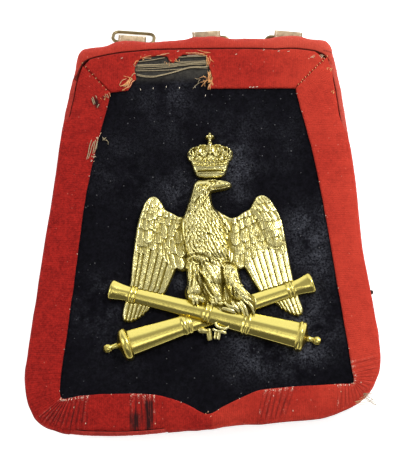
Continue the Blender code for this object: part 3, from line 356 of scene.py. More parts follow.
black_leather, tree, shader = finish("black_leather", Roughness=0.5, Specular_IOR_Level=0.45)
grained = use(tree, leather_grain, {"Place": place(tree), "Pebble": 620.0}).outputs
sewn = use(tree, stitch_row, {"Cut": cut_map(tree), "Off": 3.0, "Pitch": 3.4, "Thick": 0.9}).outputs
worn = added(tree, product(tree, grained["Wear"], 0.55), product(tree, mark(tree, "edge"), 0.55), clamp=True)
colour = mix(tree, worn, (0.016, 0.014, 0.013, 1), (0.075, 0.048, 0.034, 1))
colour = mix(tree, sewn["Thread"], colour, (0.115, 0.085, 0.052, 1))
seam = math_node(tree, "SUBTRACT", product(tree, sewn["Thread"], 1.6), product(tree, sewn["Groove"], 1.1))
relief = added(tree, product(tree, grained["Height"], 0.35), seam)
fill(shader, {"Base Color": colour, "Roughness": ramp(tree, worn, 0.0, 1.0, 0.42, 0.72),
              "Normal": bumped(tree, relief, 0.00025, 0.7)})


def pouch_sides(y):
    """Left and right x of the pouch's straight sides at heights y."""
    share = (POUCH_TOP - y) / (POUCH_TOP - POUCH_BOTTOM)
    return [top + (bottom - top) * share for top, bottom in (POUCH_LEFT, POUCH_RIGHT)]


def pouch_outline(inset, top):
    """Left side downward, rounded bottom, right side upward: straight sides and corner arcs, inset inward."""
    low = POUCH_BOTTOM + inset
    radius = POUCH_CORNER - 0.5 * inset
    y = np.linspace(top, low + radius, 24)
    x_left, x_right = pouch_sides(y)
    left = np.column_stack([x_left + inset, y])
    right = np.column_stack([x_right - inset, y])[::-1]
    angle = np.linspace(0, math.pi / 2, 10)[1:, None]
    arc = np.hstack([1 - np.cos(angle), -np.sin(angle)]) * radius
    turn_left = left[-1] + arc
    turn_right = (right[0] + arc * [-1, 1])[::-1]
    x = np.linspace(turn_left[-1, 0], turn_right[0, 0], 26)[1:-1]
    bottom = np.column_stack([x, np.full(len(x), low)])
    return np.vstack([left, turn_left, bottom, turn_right, right])


def along_edge(line):
    """Running length of a line of points."""
    return np.concatenate([[0], np.cumsum(np.linalg.norm(np.diff(line[:, :2], axis=0), axis=1))])


levels = np.array([
    # inset, height of the outer face, inset added inside, height of the inner face
    (4.0, 3.3, 0.0, 2.9), (4.3, 4.2, 0.0, 2.5), (5.2, 4.6, 0.3, 2.5), (7.0, 4.35, 1.2, 2.5),
    (9.2, 4.6, 2.0, 2.6), (10.8, 6.0, 2.0, 4.0), (12.2, 9.4, 1.9, 7.4), (13.6, 12.6, 1.6, 10.6),
    (15.6, 15.2, 1.0, 13.2), (18.5, 16.5, 0.4, 14.6), (24.0, 16.7, 0.0, 14.7), (40.0, 16.6, 0.0, 14.7), ])
levels = spline(levels, np.linspace(0, len(levels) - 1, 34))
front, back_face = [], []
for inset, high, shift, low in levels:
    line, under = pouch_outline(inset, POUCH_MOUTH), pouch_outline(inset + shift, POUCH_MOUTH)
    front.append(np.column_stack([line, high + 0.15 * wander(line[:, 0], line[:, 1], 30, 5)]))
    back_face.append(np.column_stack([under, np.full(len(under), low)]))
for share in (0.35, 0.7, 1.0):
    line = pouch_outline(40.0, POUCH_MOUTH)
    core = np.column_stack([np.full(len(line), -1.5), np.clip(line[:, 1], -60.0, POUCH_MOUTH)])
    line = line + (core - line) * share
    front.append(np.column_stack([line, 16.6 - 0.5 * share + 0.15 * wander(line[:, 0], line[:, 1], 30, 5)]))
    back_face.append(np.column_stack([line, np.full(len(line), 14.6 - 0.5 * share)]))
front, back_face = np.array(front), np.array(back_face)
points, faces = walled(front, back_face)
run = np.tile(along_edge(front[0]), len(front))
gap = np.repeat(np.concatenate([levels[:, 0] - 4.0, [60.0, 80.0, 99.0]]), front.shape[1])
wear_line = np.where(gap < 1.2, 1.0, 0.0)
make("pocket_leather", points, faces, black_leather, "black_leather", ["pocket"], weld=True,
     uv=np.tile(np.column_stack([run, gap]), (2, 1)), edge=np.tile(wear_line, 2))

# Back panel: black leather 2.2 mm thick, in rows from the rolled top edge down to the bottom. It lies flat
# on the table and rises at the top to the end of the flap.
BAND = np.array([
    # nose x, y; front lip x, y; length of the lower lip behind
    (-104.6, 134.0, -101.4, 134.9, 0.0), (-103.4, 141.0, -99.3, 140.2, 0.0),
    (-102.2, 149.0, -96.9, 144.8, 0.5), (-100.2, 156.0, -94.2, 147.4, 1.5),
    (-96.0, 159.6, -91.0, 148.9, 3.0), (-88.0, 160.8, -85.5, 150.4, 4.5), (-78.0, 162.2, -77.2, 152.2, 5.5),
    (-72.5, 164.6, -72.0, 153.0, 5.5), (-66.0, 166.0, -66.0, 153.9, 5.5), (-57.0, 165.9, -57.0, 154.6, 5.5),
    (-49.0, 164.8, -49.0, 155.2, 5.5), (-41.0, 164.3, -41.0, 155.7, 5.5), (-28.0, 165.2, -28.0, 156.0, 5.5),
    (-14.0, 166.1, -14.0, 156.0, 5.5), (-7.0, 168.1, -7.0, 155.9, 5.5), (4.0, 168.7, 4.0, 155.8, 5.5),
    (15.0, 168.2, 15.0, 155.7, 5.5), (22.0, 166.6, 22.0, 155.6, 5.5), (38.0, 166.0, 38.0, 155.3, 5.5),
    (54.0, 165.5, 54.0, 154.6, 5.5), (61.0, 167.1, 60.5, 154.3, 5.5), (70.0, 167.6, 69.5, 154.7, 5.5),
    (79.0, 167.2, 78.0, 154.2, 5.5), (87.0, 164.8, 85.5, 153.2, 4.5), (94.5, 163.8, 91.5, 152.0, 3.0),
    (101.0, 162.6, 96.5, 150.0, 1.5), (105.0, 157.5, 99.8, 147.4, 0.5), (106.4, 150.0, 102.0, 143.9, 0.0),
    (107.8, 142.6, 103.8, 139.9, 0.0), ])
across = np.linspace(0, 1, 61)
behind = np.concatenate([np.linspace(-0.5, 40.0, 28), np.linspace(46.0, 286.0, 70)])
share, depth = np.meshgrid(across, behind)
top_x = POUCH_LEFT[0] + (POUCH_RIGHT[0] - POUCH_LEFT[0]) * share
lip_y = np.interp(top_x, BAND[4:-4, 2], BAND[4:-4, 3]) + 0.6
keep = np.clip(1 - (depth - 40.0) / 100.0, 0, 1)
top_y = lip_y * keep + 152.0 * (1 - keep)
y = np.maximum(top_y - depth, POUCH_BOTTOM)
corner = np.clip(POUCH_CORNER - (y - POUCH_BOTTOM), 0, POUCH_CORNER)
corner = POUCH_CORNER - np.sqrt(np.maximum(POUCH_CORNER**2 - corner**2, 0))
x_left, x_right = pouch_sides(y)
x_left, x_right = x_left + corner, x_right - corner
x = x_left + (x_right - x_left) * share
rise = 10.0 * (1 - smooth((depth - 7.0) / 30.0))
rim_gap = np.minimum(np.minimum(x - x_left, x_right - x), y - POUCH_BOTTOM)
round_off = 0.7 * np.exp(-np.maximum(rim_gap, 0) / 0.8)
low_face = np.dstack([x, y, rise + round_off + 0.02])
high_face = np.dstack([x, y, rise + 2.2 - round_off])
points, faces = walled(high_face, low_face)
run = np.where(share < 0.5, 0, 300) + y * 1.02
make("back_leather", points, faces, black_leather, "black_leather", ["back_panel"],
     uv=np.tile(np.column_stack([run.ravel(), rim_gap.ravel()]), (2, 1)),
     edge=np.tile((rim_gap < 1.5).ravel().astype(float), 2))

# Strap end at the right: a narrow strip of black leather, one ply, that comes out from behind the flap and
# lifts toward its rounded tip.
along, over = np.meshgrid(np.linspace(0, 1, 40), np.linspace(-1, 1, 9), indexing="ij")
x = 97.65 + 33.5 * along
half = 1.7 * np.sqrt(np.clip(1 - np.clip((along - 0.96) / 0.05, 0, 1)**2, 0.05, 1))
lift = 6.9 + 4.5 * smooth((along - 0.33) / 0.8)
top = np.dstack([x, -46.0 + over * half, lift + 0.25 * (1 - over**2) + 0.12 * wander(x, over, 3, 8)])
low = np.dstack([x, -46.0 + over * half, lift - 1.8 + 0.4 * over**2])
points, faces = walled(top, low)
make("strap_end", points, faces, black_leather, "black_leather", ["side_tab"],
     uv=np.tile(np.column_stack([x.ravel(), (over * half + 9).ravel()]), (2, 1)),
     edge=np.tile((abs(over) > 0.9).ravel().astype(float), 2))

# The flap: 3 mm black leather under the cloth, its rim fallen a little, rolled over at the top inside the
# band. The lace, the cloth and the bead follow the same border round its sides and bottom.
BORDER = np.array([
    # outer edge x, y; inner edge of the lace x, y; width of the edge piping
    (-101.8, 148.5, -74.5, 119.8, 6.9), (-104.8, 133.5, -75.6, 113.5, 4.2),
    (-108.4, 118.0, -77.0, 107.5, 4.2), (-111.6, 103.0, -79.6, 98.5, 4.0), (-115.6, 79.0, -84.4, 80.0, 3.6),
    (-118.6, 54.0, -90.4, 54.5, 3.2), (-122.2, 28.0, -95.4, 28.5, 3.0), (-126.3, 4.0, -98.9, 2.5, 2.8),
    (-130.3, -24.0, -102.3, -25.0, 2.8), (-134.4, -52.0, -106.0, -52.0, 2.8),
    (-138.0, -76.0, -109.3, -76.0, 2.8), (-141.0, -97.0, -112.4, -98.0, 2.8),
    (-142.3, -112.0, -114.2, -111.0, 2.8), (-140.8, -126.0, -114.8, -121.0, 2.8),
    (-136.4, -138.2, -114.2, -125.9, 3.0), (-129.0, -146.6, -111.8, -127.8, 3.0),
    (-117.0, -152.2, -106.5, -127.2, 3.0), (-102.0, -155.0, -98.0, -125.6, 3.2),
    (-85.0, -156.2, -84.0, -124.8, 3.2), (-62.0, -156.4, -62.0, -124.6, 3.0),
    (-42.0, -155.4, -43.0, -125.6, 3.0), (-30.0, -154.0, -31.0, -128.4, 2.8),
    (-15.0, -153.3, -16.5, -134.0, 2.8), (-1.0, -152.8, -1.2, -141.4, 2.8),
    (13.0, -150.6, 12.0, -135.6, 2.8), (27.0, -149.2, 27.0, -128.6, 2.8), (41.0, -149.3, 40.5, -123.8, 2.8),
    (60.0, -147.8, 60.0, -122.0, 2.8), (83.0, -146.3, 83.0, -121.0, 2.8), (99.0, -142.2, 101.0, -120.3, 2.8),
    (112.5, -136.4, 109.5, -120.1, 3.0), (123.5, -127.0, 111.9, -118.9, 3.0),
    (130.8, -115.0, 112.4, -115.4, 3.0), (133.9, -102.0, 111.2, -109.0, 2.8),
    (133.4, -86.0, 108.7, -90.0, 2.8), (130.9, -64.0, 105.6, -66.0, 2.8), (127.2, -37.0, 101.8, -38.0, 2.8),
    (123.4, -12.0, 98.5, -12.0, 3.0), (121.6, 14.0, 95.0, 13.5, 3.0), (120.4, 40.0, 91.2, 40.0, 3.4),
    (117.6, 68.0, 86.3, 68.0, 3.8), (114.3, 96.0, 80.2, 95.0, 4.2), (111.8, 117.0, 77.4, 107.0, 4.2),
    (109.0, 133.0, 75.6, 114.5, 4.6), (105.8, 151.5, 74.8, 120.5, 7.7), ])
LAST = len(BORDER) - 1
MIDDLE = np.array([-2.0, -8.0])
FLAP_TOP, FLAP_THICK, ROLL_MIDDLE = 20.0, 3.0, 15.0
LIP_AT = np.linspace(0, 20, 121)            # stations between the band's corners, by rows of BAND


def border(at):
    """Outer edge, rim under the piping, inner edge of the lace and piping width at row positions."""
    rows = spline(BORDER, at)
    outer, inner, width = rows[:, 0:2], rows[:, 2:4], rows[:, 4:5]
    span = (inner - outer) / np.linalg.norm(inner - outer, axis=1, keepdims=True)
    return outer, outer + span * (width + 0.3), inner, width


def rim_drop(at):
    """How far the rim hangs below the field: 3 mm at sides and bottom, eased to none at the top corners."""
    return 3.0 * smooth(np.minimum(at, LAST - at) / 3.0)


def flap_rings(top_gap):
    """Closed rings over the whole flap: at the rim, at the lace's inner edge, then shrunk to the middle.
    Returns plan points and drop below the field, on a grid of rings x stations."""
    at = np.linspace(0, LAST, 441)
    _, rim, inner, _ = border(at)
    fall = rim_drop(at)
    lip = spline(BAND[4:-4, 2:4], LIP_AT)[::-1][1:-1] - [0.0, top_gap]
    share = LIP_AT[1:-1, None] / LIP_AT[-1]
    inner = np.vstack([inner, inner[-1] + (inner[0] - inner[-1]) * share])
    rim, fall = np.vstack([rim, lip]), np.concatenate([fall, np.zeros(len(lip))])
    rings, drops = [], []
    for part in np.linspace(1, 0, 12):
        rings.append(inner + (rim - inner) * part)
        drops.append(fall * part**2)
    for part in np.linspace(0, 1, 56)[1:] ** 0.9:
        rings.append(inner + (MIDDLE - inner) * part)
        drops.append(fall * 0)
    return np.array(rings), np.array(drops)


def rolled(start, out_way, turns, far, tall):
    """Section bent round the rolled top edge: at each station an elliptic arc through the turns, far out
    along its way and tall about the middle of the roll."""
    cos, sin = np.cos(turns)[:, None], np.sin(turns)[:, None]
    plan = start + out_way * (far * cos)[..., None]
    return np.dstack([plan, ROLL_MIDDLE + np.broadcast_to(tall * sin, plan.shape[:2])])


rings, drops = flap_rings(-0.4)
top = np.dstack([rings, FLAP_TOP - drops])
low = np.dstack([rings, FLAP_TOP - FLAP_THICK - drops])
points, faces = walled(top.transpose(1, 0, 2), low.transpose(1, 0, 2), wrap_rows=True)
lip, nose = spline(BAND[4:-4, 2:4], LIP_AT), spline(BAND[4:-4, 0:2], LIP_AT)
reach = np.linalg.norm(nose - lip, axis=1)
out_way = (nose - lip) / reach[:, None]
start = lip + out_way * 0.2
far = reach - 0.6 - 1.7 - 0.3                             # less the band's start, its wall and a gap
turns = np.radians(np.linspace(90, -75, 23))
outer_roll = rolled(start, out_way, turns, far, 5.0)
inner_roll = rolled(start, out_way, turns, far - FLAP_THICK, 5.0 - FLAP_THICK)
roll_points, roll_faces = walled(outer_roll, inner_roll)
faces = np.vstack([faces, roll_faces + len(points)])
points = np.vstack([points, roll_points])
make("flap", points, faces, black_leather, "black_leather", ["flap_leather"], weld=True,
     uv=np.column_stack([points[:, 0], np.full(len(points), 40.0)]), edge=np.zeros(len(points)))

# The face: blue-black wool cloth glued and sewn over the whole flap, 1 mm thick, its nap rubbed and full of
# pale dust where hands and the badge's polish reached it, grey and bald in the torn bay under the lace.
rings, drops = flap_rings(1.2)
lint = 0.10 * wander(rings[..., 0], rings[..., 1], 18, 3) + 0.05 * wander(rings[..., 0], rings[..., 1], 6, 4)
top = np.dstack([rings, FLAP_TOP + 1.3 - drops + lint])
low = np.dstack([rings, FLAP_TOP + 0.3 - drops])
points, faces = walled(top.transpose(1, 0, 2), low.transpose(1, 0, 2), wrap_rows=True)

# nap: short fibres that lie every way, and the dust that they hold in drifts and specks
napped, given, result = group("napped_cloth", {"Place": "v", "Drift": "f"},
                              {"Height": "f", "Dust": "f", "Speck": "f"})
fibre = noise(napped, given["Place"], 1500.0, 3.0, 0.7)
lump = noise(napped, given["Place"], 420.0, 2.0, 0.6)
dots = node(napped, "ShaderNodeTexVoronoi", {"Vector": given["Place"], "Scale": 560.0,
                                             "Randomness": 1.0}).outputs
dot_size = node(napped, "ShaderNodeSeparateColor", {0: dots["Color"]}).outputs[0]
dot_size = ramp(napped, dot_size, 0.95, 1.0, 0.0, 0.30)
fill(result, {"Height": added(napped, fibre, product(napped, lump, 0.8)),
              "Dust": noise(napped, given["Place"], given["Drift"], 5.0, 0.68),
              "Speck": math_node(napped, "LESS_THAN", dots["Distance"], dot_size)})

face_cloth, tree, shader = finish("face_wool", Roughness=0.95, Specular_IOR_Level=0.07, Sheen_Weight=0.04,
                                  Sheen_Roughness=0.5)
cloth = use(tree, napped, {"Place": place(tree), "Drift": 34.0}).outputs
mottle = noise(tree, place(tree), 230.0, 4.0, 0.75)
grain = noise(tree, place(tree), 620.0, 4.0, 0.8)
dusty = product(tree, ramp(tree, cloth["Dust"], 0.36, 0.72), ramp(tree, grain, 0.38, 0.66),
                mark(tree, "rubbed"), 0.8)
bare = product(tree, mark(tree, "bald"), ramp(tree, mottle, 0.2, 0.7, 0.35, 1.0))
colour = mix(tree, ramp(tree, mottle, 0.3, 0.75), (0.0008, 0.0008, 0.0019, 1), (0.0050, 0.0046, 0.0080, 1))
colour = mix(tree, dusty, colour, (0.17, 0.18, 0.22, 1))
colour = mix(tree, bare, colour, (0.060, 0.056, 0.048, 1))
colour = mix(tree, product(tree, cloth["Speck"], 0.35), colour, (0.24, 0.24, 0.25, 1))
fill(shader, {"Base Color": colour, "Normal": bumped(tree, cloth["Height"], 0.0004, 0.8)})

# where the nap is rubbed pale: x, y, radius, strength
RUBBED = [
    (19, 66, 12, 1.0), (30, 55, 14, 0.6), (-22, 30, 11, 0.75), (-26, 44, 10, 0.5), (-52, 38, 14, 0.35),
    (80, 5, 17, 0.55), (84, -20, 20, 0.6), (72, -60, 16, 0.6), (70, -88, 22, 0.60), (40, -88, 16, 0.55),
    (96, -70, 14, 0.4), (-80, -40, 12, 0.5), (-86, -62, 17, 0.75), (28, 30, 12, 0.35), (-72, 62, 22, 0.2),
    (20, 92, 24, 0.12), (62, 70, 26, 0.12), (-20, 100, 26, 0.14), (30, -100, 18, 0.35), (-60, -95, 26, 0.08),
    (-20, -38, 6, 0.8), (32, -38, 6, 0.9), (70, -100, 16, 0.5), (-30, 118, 24, 0.25), (95, 40, 14, 0.25),
]
px, py = points[:, 0], points[:, 1]
rubbed = sum(s * np.exp(-((px - x)**2 + (py - y)**2) / r**2) for x, y, r, s in RUBBED)
bald = smooth((py - 127) / 8) * smooth((px + 60) / 6) * smooth((10 - px) / 6)
cloth_piece = make("cloth_face", points, faces, face_cloth, "black_cloth", ["face_cloth"], weld=True,
                   uv=points[:, :2], rubbed=np.clip(rubbed + 0.03, 0, 1.0), bald=bald)

# Lace down both sides and round the bottom: one length of ribbed red wool lace, 28 mm wide, sewn flat and
# eased round the corners in small gathers; it has faded more on the right, and the gathers' folds are
# darkened with painted shade.
LACE_TOP = 23.35
GATHERS = np.array([
    # first row, last row, how many, height, how dark the painted shade in the creases is, lean in rows toward
    # the rim
    (14.35, 17.5, 11, 1.15, 0.85, 0.0), (19.05, 20.15, 5, 0.85, 1.0, 0.0), (26.1, 27.3, 6, 0.85, 0.8, 0.42),
    (28.9, 29.9, 4, 0.75, 0.50, 0.0), (29.9, 33.5, 12, 0.6, 0.36, 0.0), (10.4, 14.35, 14, 0.28, 0.12, 0.0),
])
stops = [np.linspace(first - lean, last, int(count * (1 + lean)) * 9 + 1)
         for first, last, count, _, _, lean in GATHERS]
at = np.unique(np.concatenate([np.linspace(0, LAST, 760)] + stops))
over = np.concatenate([[0, 0.008, 0.02, 0.04, 0.07], np.linspace(0.12, 0.84, 13), np.linspace(0.87, 1.0, 8)])
outer, rim, inner, piped = border(at)
full = np.linalg.norm(outer - inner, axis=1, keepdims=True)
out_way = (outer - inner) / full
# where the lace is drawn over the bead at the edge: all round but at both ends and at the bottom's left
wrapped = smooth((at - 3.0) / 0.5) * smooth((41.2 - at) / 1.2)
wrapped = wrapped * (1 - smooth((at - 16.6) / 0.4) * smooth((20.9 - at) / 0.4))
wrapped = wrapped[:, None]
wavy = 0.3 + 0.35 * wander(at * 18, 0, 9, 23)[:, None]
beside = rim + out_way * (1.7 * smooth((at[:, None] - 42.7) / 0.6) - 0.3)
rim = beside * (1 - wrapped) + (outer + out_way * wavy) * wrapped
wide = np.linalg.norm(rim - inner, axis=1)
middle_line = (rim + inner) / 2
run = along_edge(middle_line)
sway = 0.22 * wander(run, 0, 9, 21)
inner = inner + (inner - rim) / wide[:, None] * sway[:, None]
A, B = np.meshgrid(over, at, indexing="ij")
fold, dark, worn = np.zeros_like(A), np.zeros_like(A), np.zeros_like(A)
for first, last, count, rise, black, lean in GATHERS:
    part = (B + lean * A - first) / (last - first)
    live = (part > 0) & (part < 1)
    twist = 0.35 * (A - 0.5) / count
    beat = np.abs(np.sin(math.pi * count * (part + twist * np.sin(9 * part))))
    uneven = 0.7 + 0.3 * wander(B * 20, A * 2, 1.0, 6)
    fold += np.where(live, rise * uneven * beat**0.55 * smooth(np.minimum(part, 1 - part) * 8 + 0.3), 0)
    # painted shade, darkest in the valleys between the gathers
    dark = np.maximum(dark, np.where(live, black * (1 - beat) ** 1.4 * (0.4 + 0.6 * uneven), 0))
    tips = np.clip(beat * 1.6 - 0.6, 0, 1) * (np.exp(-(A / 0.10)**2) + 0.25 * np.clip(uneven * 3 - 2.2, 0, 1))
    worn = np.maximum(worn, np.where(live & (rise > 0.5), tips, 0))
# pale worn crests beside the gathers: row, lean
for first, lean in ((14.55, 0.0), (19.10, 0.0), (19.62, 0.0), (20.04, 0.0), (26.16, 0.42), (28.97, 0.0)):
    broken = np.clip(3 * wander(B * 3 + first, A * 26, 3.0, 5), 0, 1)
    worn = np.maximum(worn, np.exp(-((B + lean * A - first) / 0.035)**2) * (A < 0.85) * broken)
spread = 0.12 + 0.88 * np.sin(math.pi * (0.10 + 0.80 * A))
dark = dark * smooth((A - 0.03) / 0.25) * (1 - 0.8 * smooth((A - 0.72) / 0.2))
plan = inner[None] + (rim - inner)[None] * A[..., None]
d_in, d_out = A * wide, (1 - A) * wide
z = LACE_TOP - rim_drop(B) * A**2 + fold * spread
z = z - 0.95 * np.exp(-d_in / 0.4) - 0.9 * np.exp(-d_out / 0.6) * (1 - wrapped[:, 0])
past = (d_in - (full - piped)[:, 0]) / piped[:, 0]
bead_top = 23.5 - rim_drop(B) + np.interp(past, [0, 0.3, 0.62, 0.9, 1.0, 1.12],
                                          [-0.1, 0, -0.3, -1.2, -2.5, -3.4])
z = np.where(past > 0, np.minimum(z, bead_top + 0.5 * np.exp(-past / 0.1)), z)
z = z + 0.10 * wander(plan[..., 0], plan[..., 1], 11, 7) + 0.05 * wander(plan[..., 0], plan[..., 1], 3, 9)
top = np.dstack([plan, z])
low = np.dstack([plan, np.minimum(21.72 - rim_drop(B) * A**2, z - 0.9)])
points, faces = walled(top, low)
uv = np.tile(np.column_stack([np.tile(run, len(over)), d_in.ravel()]), (2, 1))
ragged = 0.9 + 0.4 * wander(points[:, 0] * 3, points[:, 1], 3.0, 8)
ragged = 1.15 * ragged * (0.82 + 0.18 * np.sin(points[:, 0] * 3.4))
# two patches darkened down the deepest gathers at the bottom left, and the small hole in the left lace
# darkened
blackest = np.exp(-((points[:, 0] + 57.0) / 3.9)**4) * smooth((-137 - points[:, 1]) / 7) * ragged
blackest += np.exp(-((points[:, 0] + 46.6) / 2.9)**4) * smooth((-127 - points[:, 1]) / 7) * ragged
slot = np.exp(-(((points[:, 0] + 85.6) * 0.97 + (points[:, 1] - 111.0) * 0.24) / 2.3)**4
              - (((points[:, 1] - 111.0) * 0.97 - (points[:, 0] + 85.6) * 0.24) / 4.2)**4)
slot += 0.8 * np.exp(-((points[:, 0] + 79.8) / 1.0)**4 - ((points[:, 1] - 115.0) / 1.8)**4)
crease = np.clip(np.tile(dark.ravel(), 2) + blackest + slot, 0, 0.97)

# ribs: crosswise cords and finer lengthwise threads of the weave, from the UV map in millimetres
lace_ribs, given, result = group("lace_ribs", {"Cut": "v", "Rib": "f"}, {"Height": "f", "Rib_Shade": "f"})
part = node(lace_ribs, "ShaderNodeSeparateXYZ", {0: given["Cut"]}).outputs
jitter = noise(lace_ribs, given["Cut"], 0.9, 2.0)
cord = product(lace_ribs, math_node(lace_ribs, "DIVIDE", part["X"], given["Rib"]), math.tau)
cord = math_node(lace_ribs, "SINE", added(lace_ribs, cord, product(lace_ribs, jitter, 3.0)))
warp = math_node(lace_ribs, "SINE", product(lace_ribs, part["Y"], math.tau / 0.85))
height = added(lace_ribs, cord, product(lace_ribs, warp, 0.45))
# painted shade of the weave: lighter on its cords and darker between them
fill(result, {"Height": height, "Rib_Shade": ramp(lace_ribs, height, -1.4, 1.4)})


def red_wool(name, deep, light, faded):
    """Red lace or cloth: ribbed weave painted lighter on its cords than between them, mottled, faded,
    darkened by painted shade in its creases, with lint.
    """
    made, tree, shader = finish(name, Roughness=0.92, Specular_IOR_Level=0.15, Sheen_Weight=0.05,
                                Sheen_Roughness=0.45)
    ribs = use(tree, lace_ribs, {"Cut": cut_map(tree), "Rib": 1.55}).outputs
    cloth = use(tree, napped, {"Place": place(tree), "Drift": 60.0}).outputs
    mottle = noise(tree, place(tree), 130.0, 5.0, 0.72)
    grain = added(tree, ramp(tree, mottle, 0.25, 0.75),
                  ramp(tree, noise(tree, place(tree), 520.0, 4.0, 0.8), 0.32, 0.68))
    # tone: the ribs' painted shade with the wool's mottled grain
    tone = added(tree, product(tree, ribs["Rib_Shade"], 0.13), product(tree, grain, 0.43))
    fading = product(tree, mark(tree, "fade"), ramp(tree, mottle, 0.1, 0.8, 0.55, 1.0))
    pale = ramp(tree, noise(tree, place(tree), 1000.0, 2.0, 0.6), 0.50, 0.60)
    colour = mix(tree, fading, mix(tree, tone, deep, light), faded)
    colour = mix(tree, product(tree, cloth["Speck"], 0.30), colour, (0.70, 0.33, 0.24, 1))
    colour = mix(tree, product(tree, mark(tree, "worn"), pale), colour, (0.86, 0.52, 0.40, 1))
    # near black where the crease mark is: painted shade in folds and gaps, and the lace's dark patches and
    # small hole
    colour = mix(tree, mark(tree, "crease"), colour, (0.022, 0.007, 0.007, 1))
    relief = added(tree, product(tree, ribs["Height"], 0.14), cloth["Height"])
    fill(shader, {"Base Color": colour, "Normal": bumped(tree, relief, 0.0005, 0.9)})
    return made


def fade_at(points):
    """Fading of the red, more toward the right and the top."""
    x, y = points[:, 0], points[:, 1]
    patch = 0.25 * wander(x, y, 26, 14)
    beyond_seam = 0.35 * smooth((x - 1.5) / 1.2) * smooth((45 - x) / 40) * smooth((-110 - y) / 12)
    sides = smooth((x + 60) / 230) * 0.85 + 0.12 * smooth((y - 60) / 100)
    return np.clip(sides + patch * smooth((x + 90) / 120) + beyond_seam, 0, 1)


lace_red = red_wool("lace_red", (0.16, 0.0036, 0.0032, 1), (0.49, 0.019, 0.0125, 1), (0.62, 0.055, 0.030, 1))
side_lace = make("side_lace", points, faces, lace_red, "red_lace", ["lace_sides"], uv=uv, crease=crease,
                 fade=fade_at(points), worn=np.tile(worn.ravel(), 2))

# Top lace, between two mitres and under the band's lip. A hand's breadth of it has torn away left of the
# middle: a red tongue is left, the warp threads hang across the hole and the edges have frayed.
TEAR = [(-60.5, 121.3), (-58.2, 124.5), (-56.6, 128.0), (-53.6, 130.4), (-54.2, 134.5), (-55.0, 138.5),
        (-53.8, 143.0), (-51.0, 147.2), (-44.0, 149.4), (-36.0, 150.6), (-28.2, 149.6), (-26.6, 145.4),
        (-23.6, 143.9), (-20.6, 147.2), (-16.0, 150.8), (-6.0, 151.0), (3.2, 150.4), (4.4, 144.0),
        (6.2, 137.6), (7.6, 130.8), (6.2, 125.2), (5.0, 121.6)]


def outline_gap(x, y, outline):
    """Distance from points to a closed outline, and the nearest point on it."""
    a = np.asarray(outline, float)
    b = np.roll(a, -1, axis=0)
    spots = np.column_stack([np.ravel(x), np.ravel(y)])
    best, near = np.full(len(spots), 1e9), spots.copy()
    for start in range(0, len(a), 40):
        p, q = a[start:start + 40], b[start:start + 40]
        d = q - p
        t = np.clip(((spots[:, None] - p) * d).sum(2) / np.maximum((d * d).sum(1), 1e-9), 0, 1)
        at_line = p + t[..., None] * d
        gap = np.linalg.norm(spots[:, None] - at_line, axis=2)
        k = gap.argmin(1)
        row = np.arange(len(spots))
        closer = gap[row, k] < best
        best = np.where(closer, gap[row, k], best)
        near = np.where(closer[:, None], at_line[row, k], near)
    return best.reshape(np.shape(x)), near


def crossings(y, outline):
    """Where level lines at heights y cut the sides of a closed outline, and which sides they cut."""
    a, b = outline, np.roll(outline, -1, axis=0)
    y = y[:, None]
    rise = np.where(a[:, 1] == b[:, 1], 1.0, b[:, 1] - a[:, 1])
    return a[:, 0] + (b[:, 0] - a[:, 0]) * (y - a[:, 1]) / rise, (a[:, 1] > y) != (b[:, 1] > y)


def blank(outline, step):
    """Square grid over a closed outline: kept cells have their middle inside it (even-odd rule), and the
    grid points on the edge of the kept cells are drawn onto the outline."""
    outline = np.asarray(outline, float)
    low, high = outline.min(0) - 1.5 * step, outline.max(0) + 1.5 * step
    xs, ys = np.arange(low[0], high[0], step), np.arange(low[1], high[1], step)
    cross, spans = crossings(ys[:-1] + step / 2, outline)
    col = (xs[:-1] + step / 2)[:, None, None]
    keep = ((cross[None] > col) & spans[None]).sum(2) % 2 == 1
    for _ in range(3):
        p, q, r, s = keep[:-1, :-1], keep[1:, :-1], keep[:-1, 1:], keep[1:, 1:]
        bad = (p & s & ~q & ~r) | (q & r & ~p & ~s)
        keep[:-1, :-1] |= bad
        keep[1:, :-1] |= bad
    X, Y = np.meshgrid(xs, ys, indexing="ij")
    framed = np.pad(keep, 1)
    near = np.stack([framed[:-1, :-1], framed[1:, :-1], framed[:-1, 1:], framed[1:, 1:]])
    edge = near.any(0) & ~near.all(0)
    _, spot = outline_gap(X[edge], Y[edge], outline)
    X[edge], Y[edge] = spot[:, 0], spot[:, 1]
    return X, Y, keep, near.any(0)


def cast(name, X, Y, keep, used, Z, base, coat, slot, stands_for, cut=None, **marks):
    """Closed solid of a blank: its face raised to Z, a flat back at base made one face, and walls between."""
    number = np.cumsum(used.ravel()).reshape(used.shape) - 1
    total = used.sum()
    face = np.column_stack([number[:-1, :-1][keep], number[1:, :-1][keep], number[1:, 1:][keep],
                            number[:-1, 1:][keep]])
    framed = np.pad(keep, 1)
    walls = []
    for step_x, step_y, one, two in ((0, -1, (0, 0), (1, 0)), (1, 0, (1, 0), (1, 1)), (0, 1, (1, 1), (0, 1)),
                                     (-1, 0, (0, 1), (0, 0))):
        beyond = framed[1 + step_x:len(framed) - 1 + step_x, 1 + step_y:len(framed[0]) - 1 + step_y]
        i, j = np.nonzero(keep & ~beyond)
        a, b = number[i + one[0], j + one[1]], number[i + two[0], j + two[1]]
        walls.append(np.column_stack([b, a, a + total, b + total]))
    top = np.column_stack([X[used], Y[used], Z[used]])
    low = np.column_stack([X[used], Y[used], np.full(total, base)])
    faces = np.vstack([face, face[:, ::-1] + total] + walls)
    uv = np.column_stack([top[:, 0], top[:, 1]]) if cut is None else cut
    piece = make(name, np.vstack([top, low]), faces, coat, slot, stands_for, uv=np.tile(uv, (2, 1)),
                 **{key: np.tile(values[used], 2) for key, values in marks.items()})
    work = bmesh.new()
    work.from_mesh(piece.data)
    work.faces.ensure_lookup_table()
    bmesh.ops.dissolve_faces(work, faces=work.faces[len(face):2 * len(face)], use_verts=True)
    work.to_mesh(piece.data)
    work.free()
    return piece


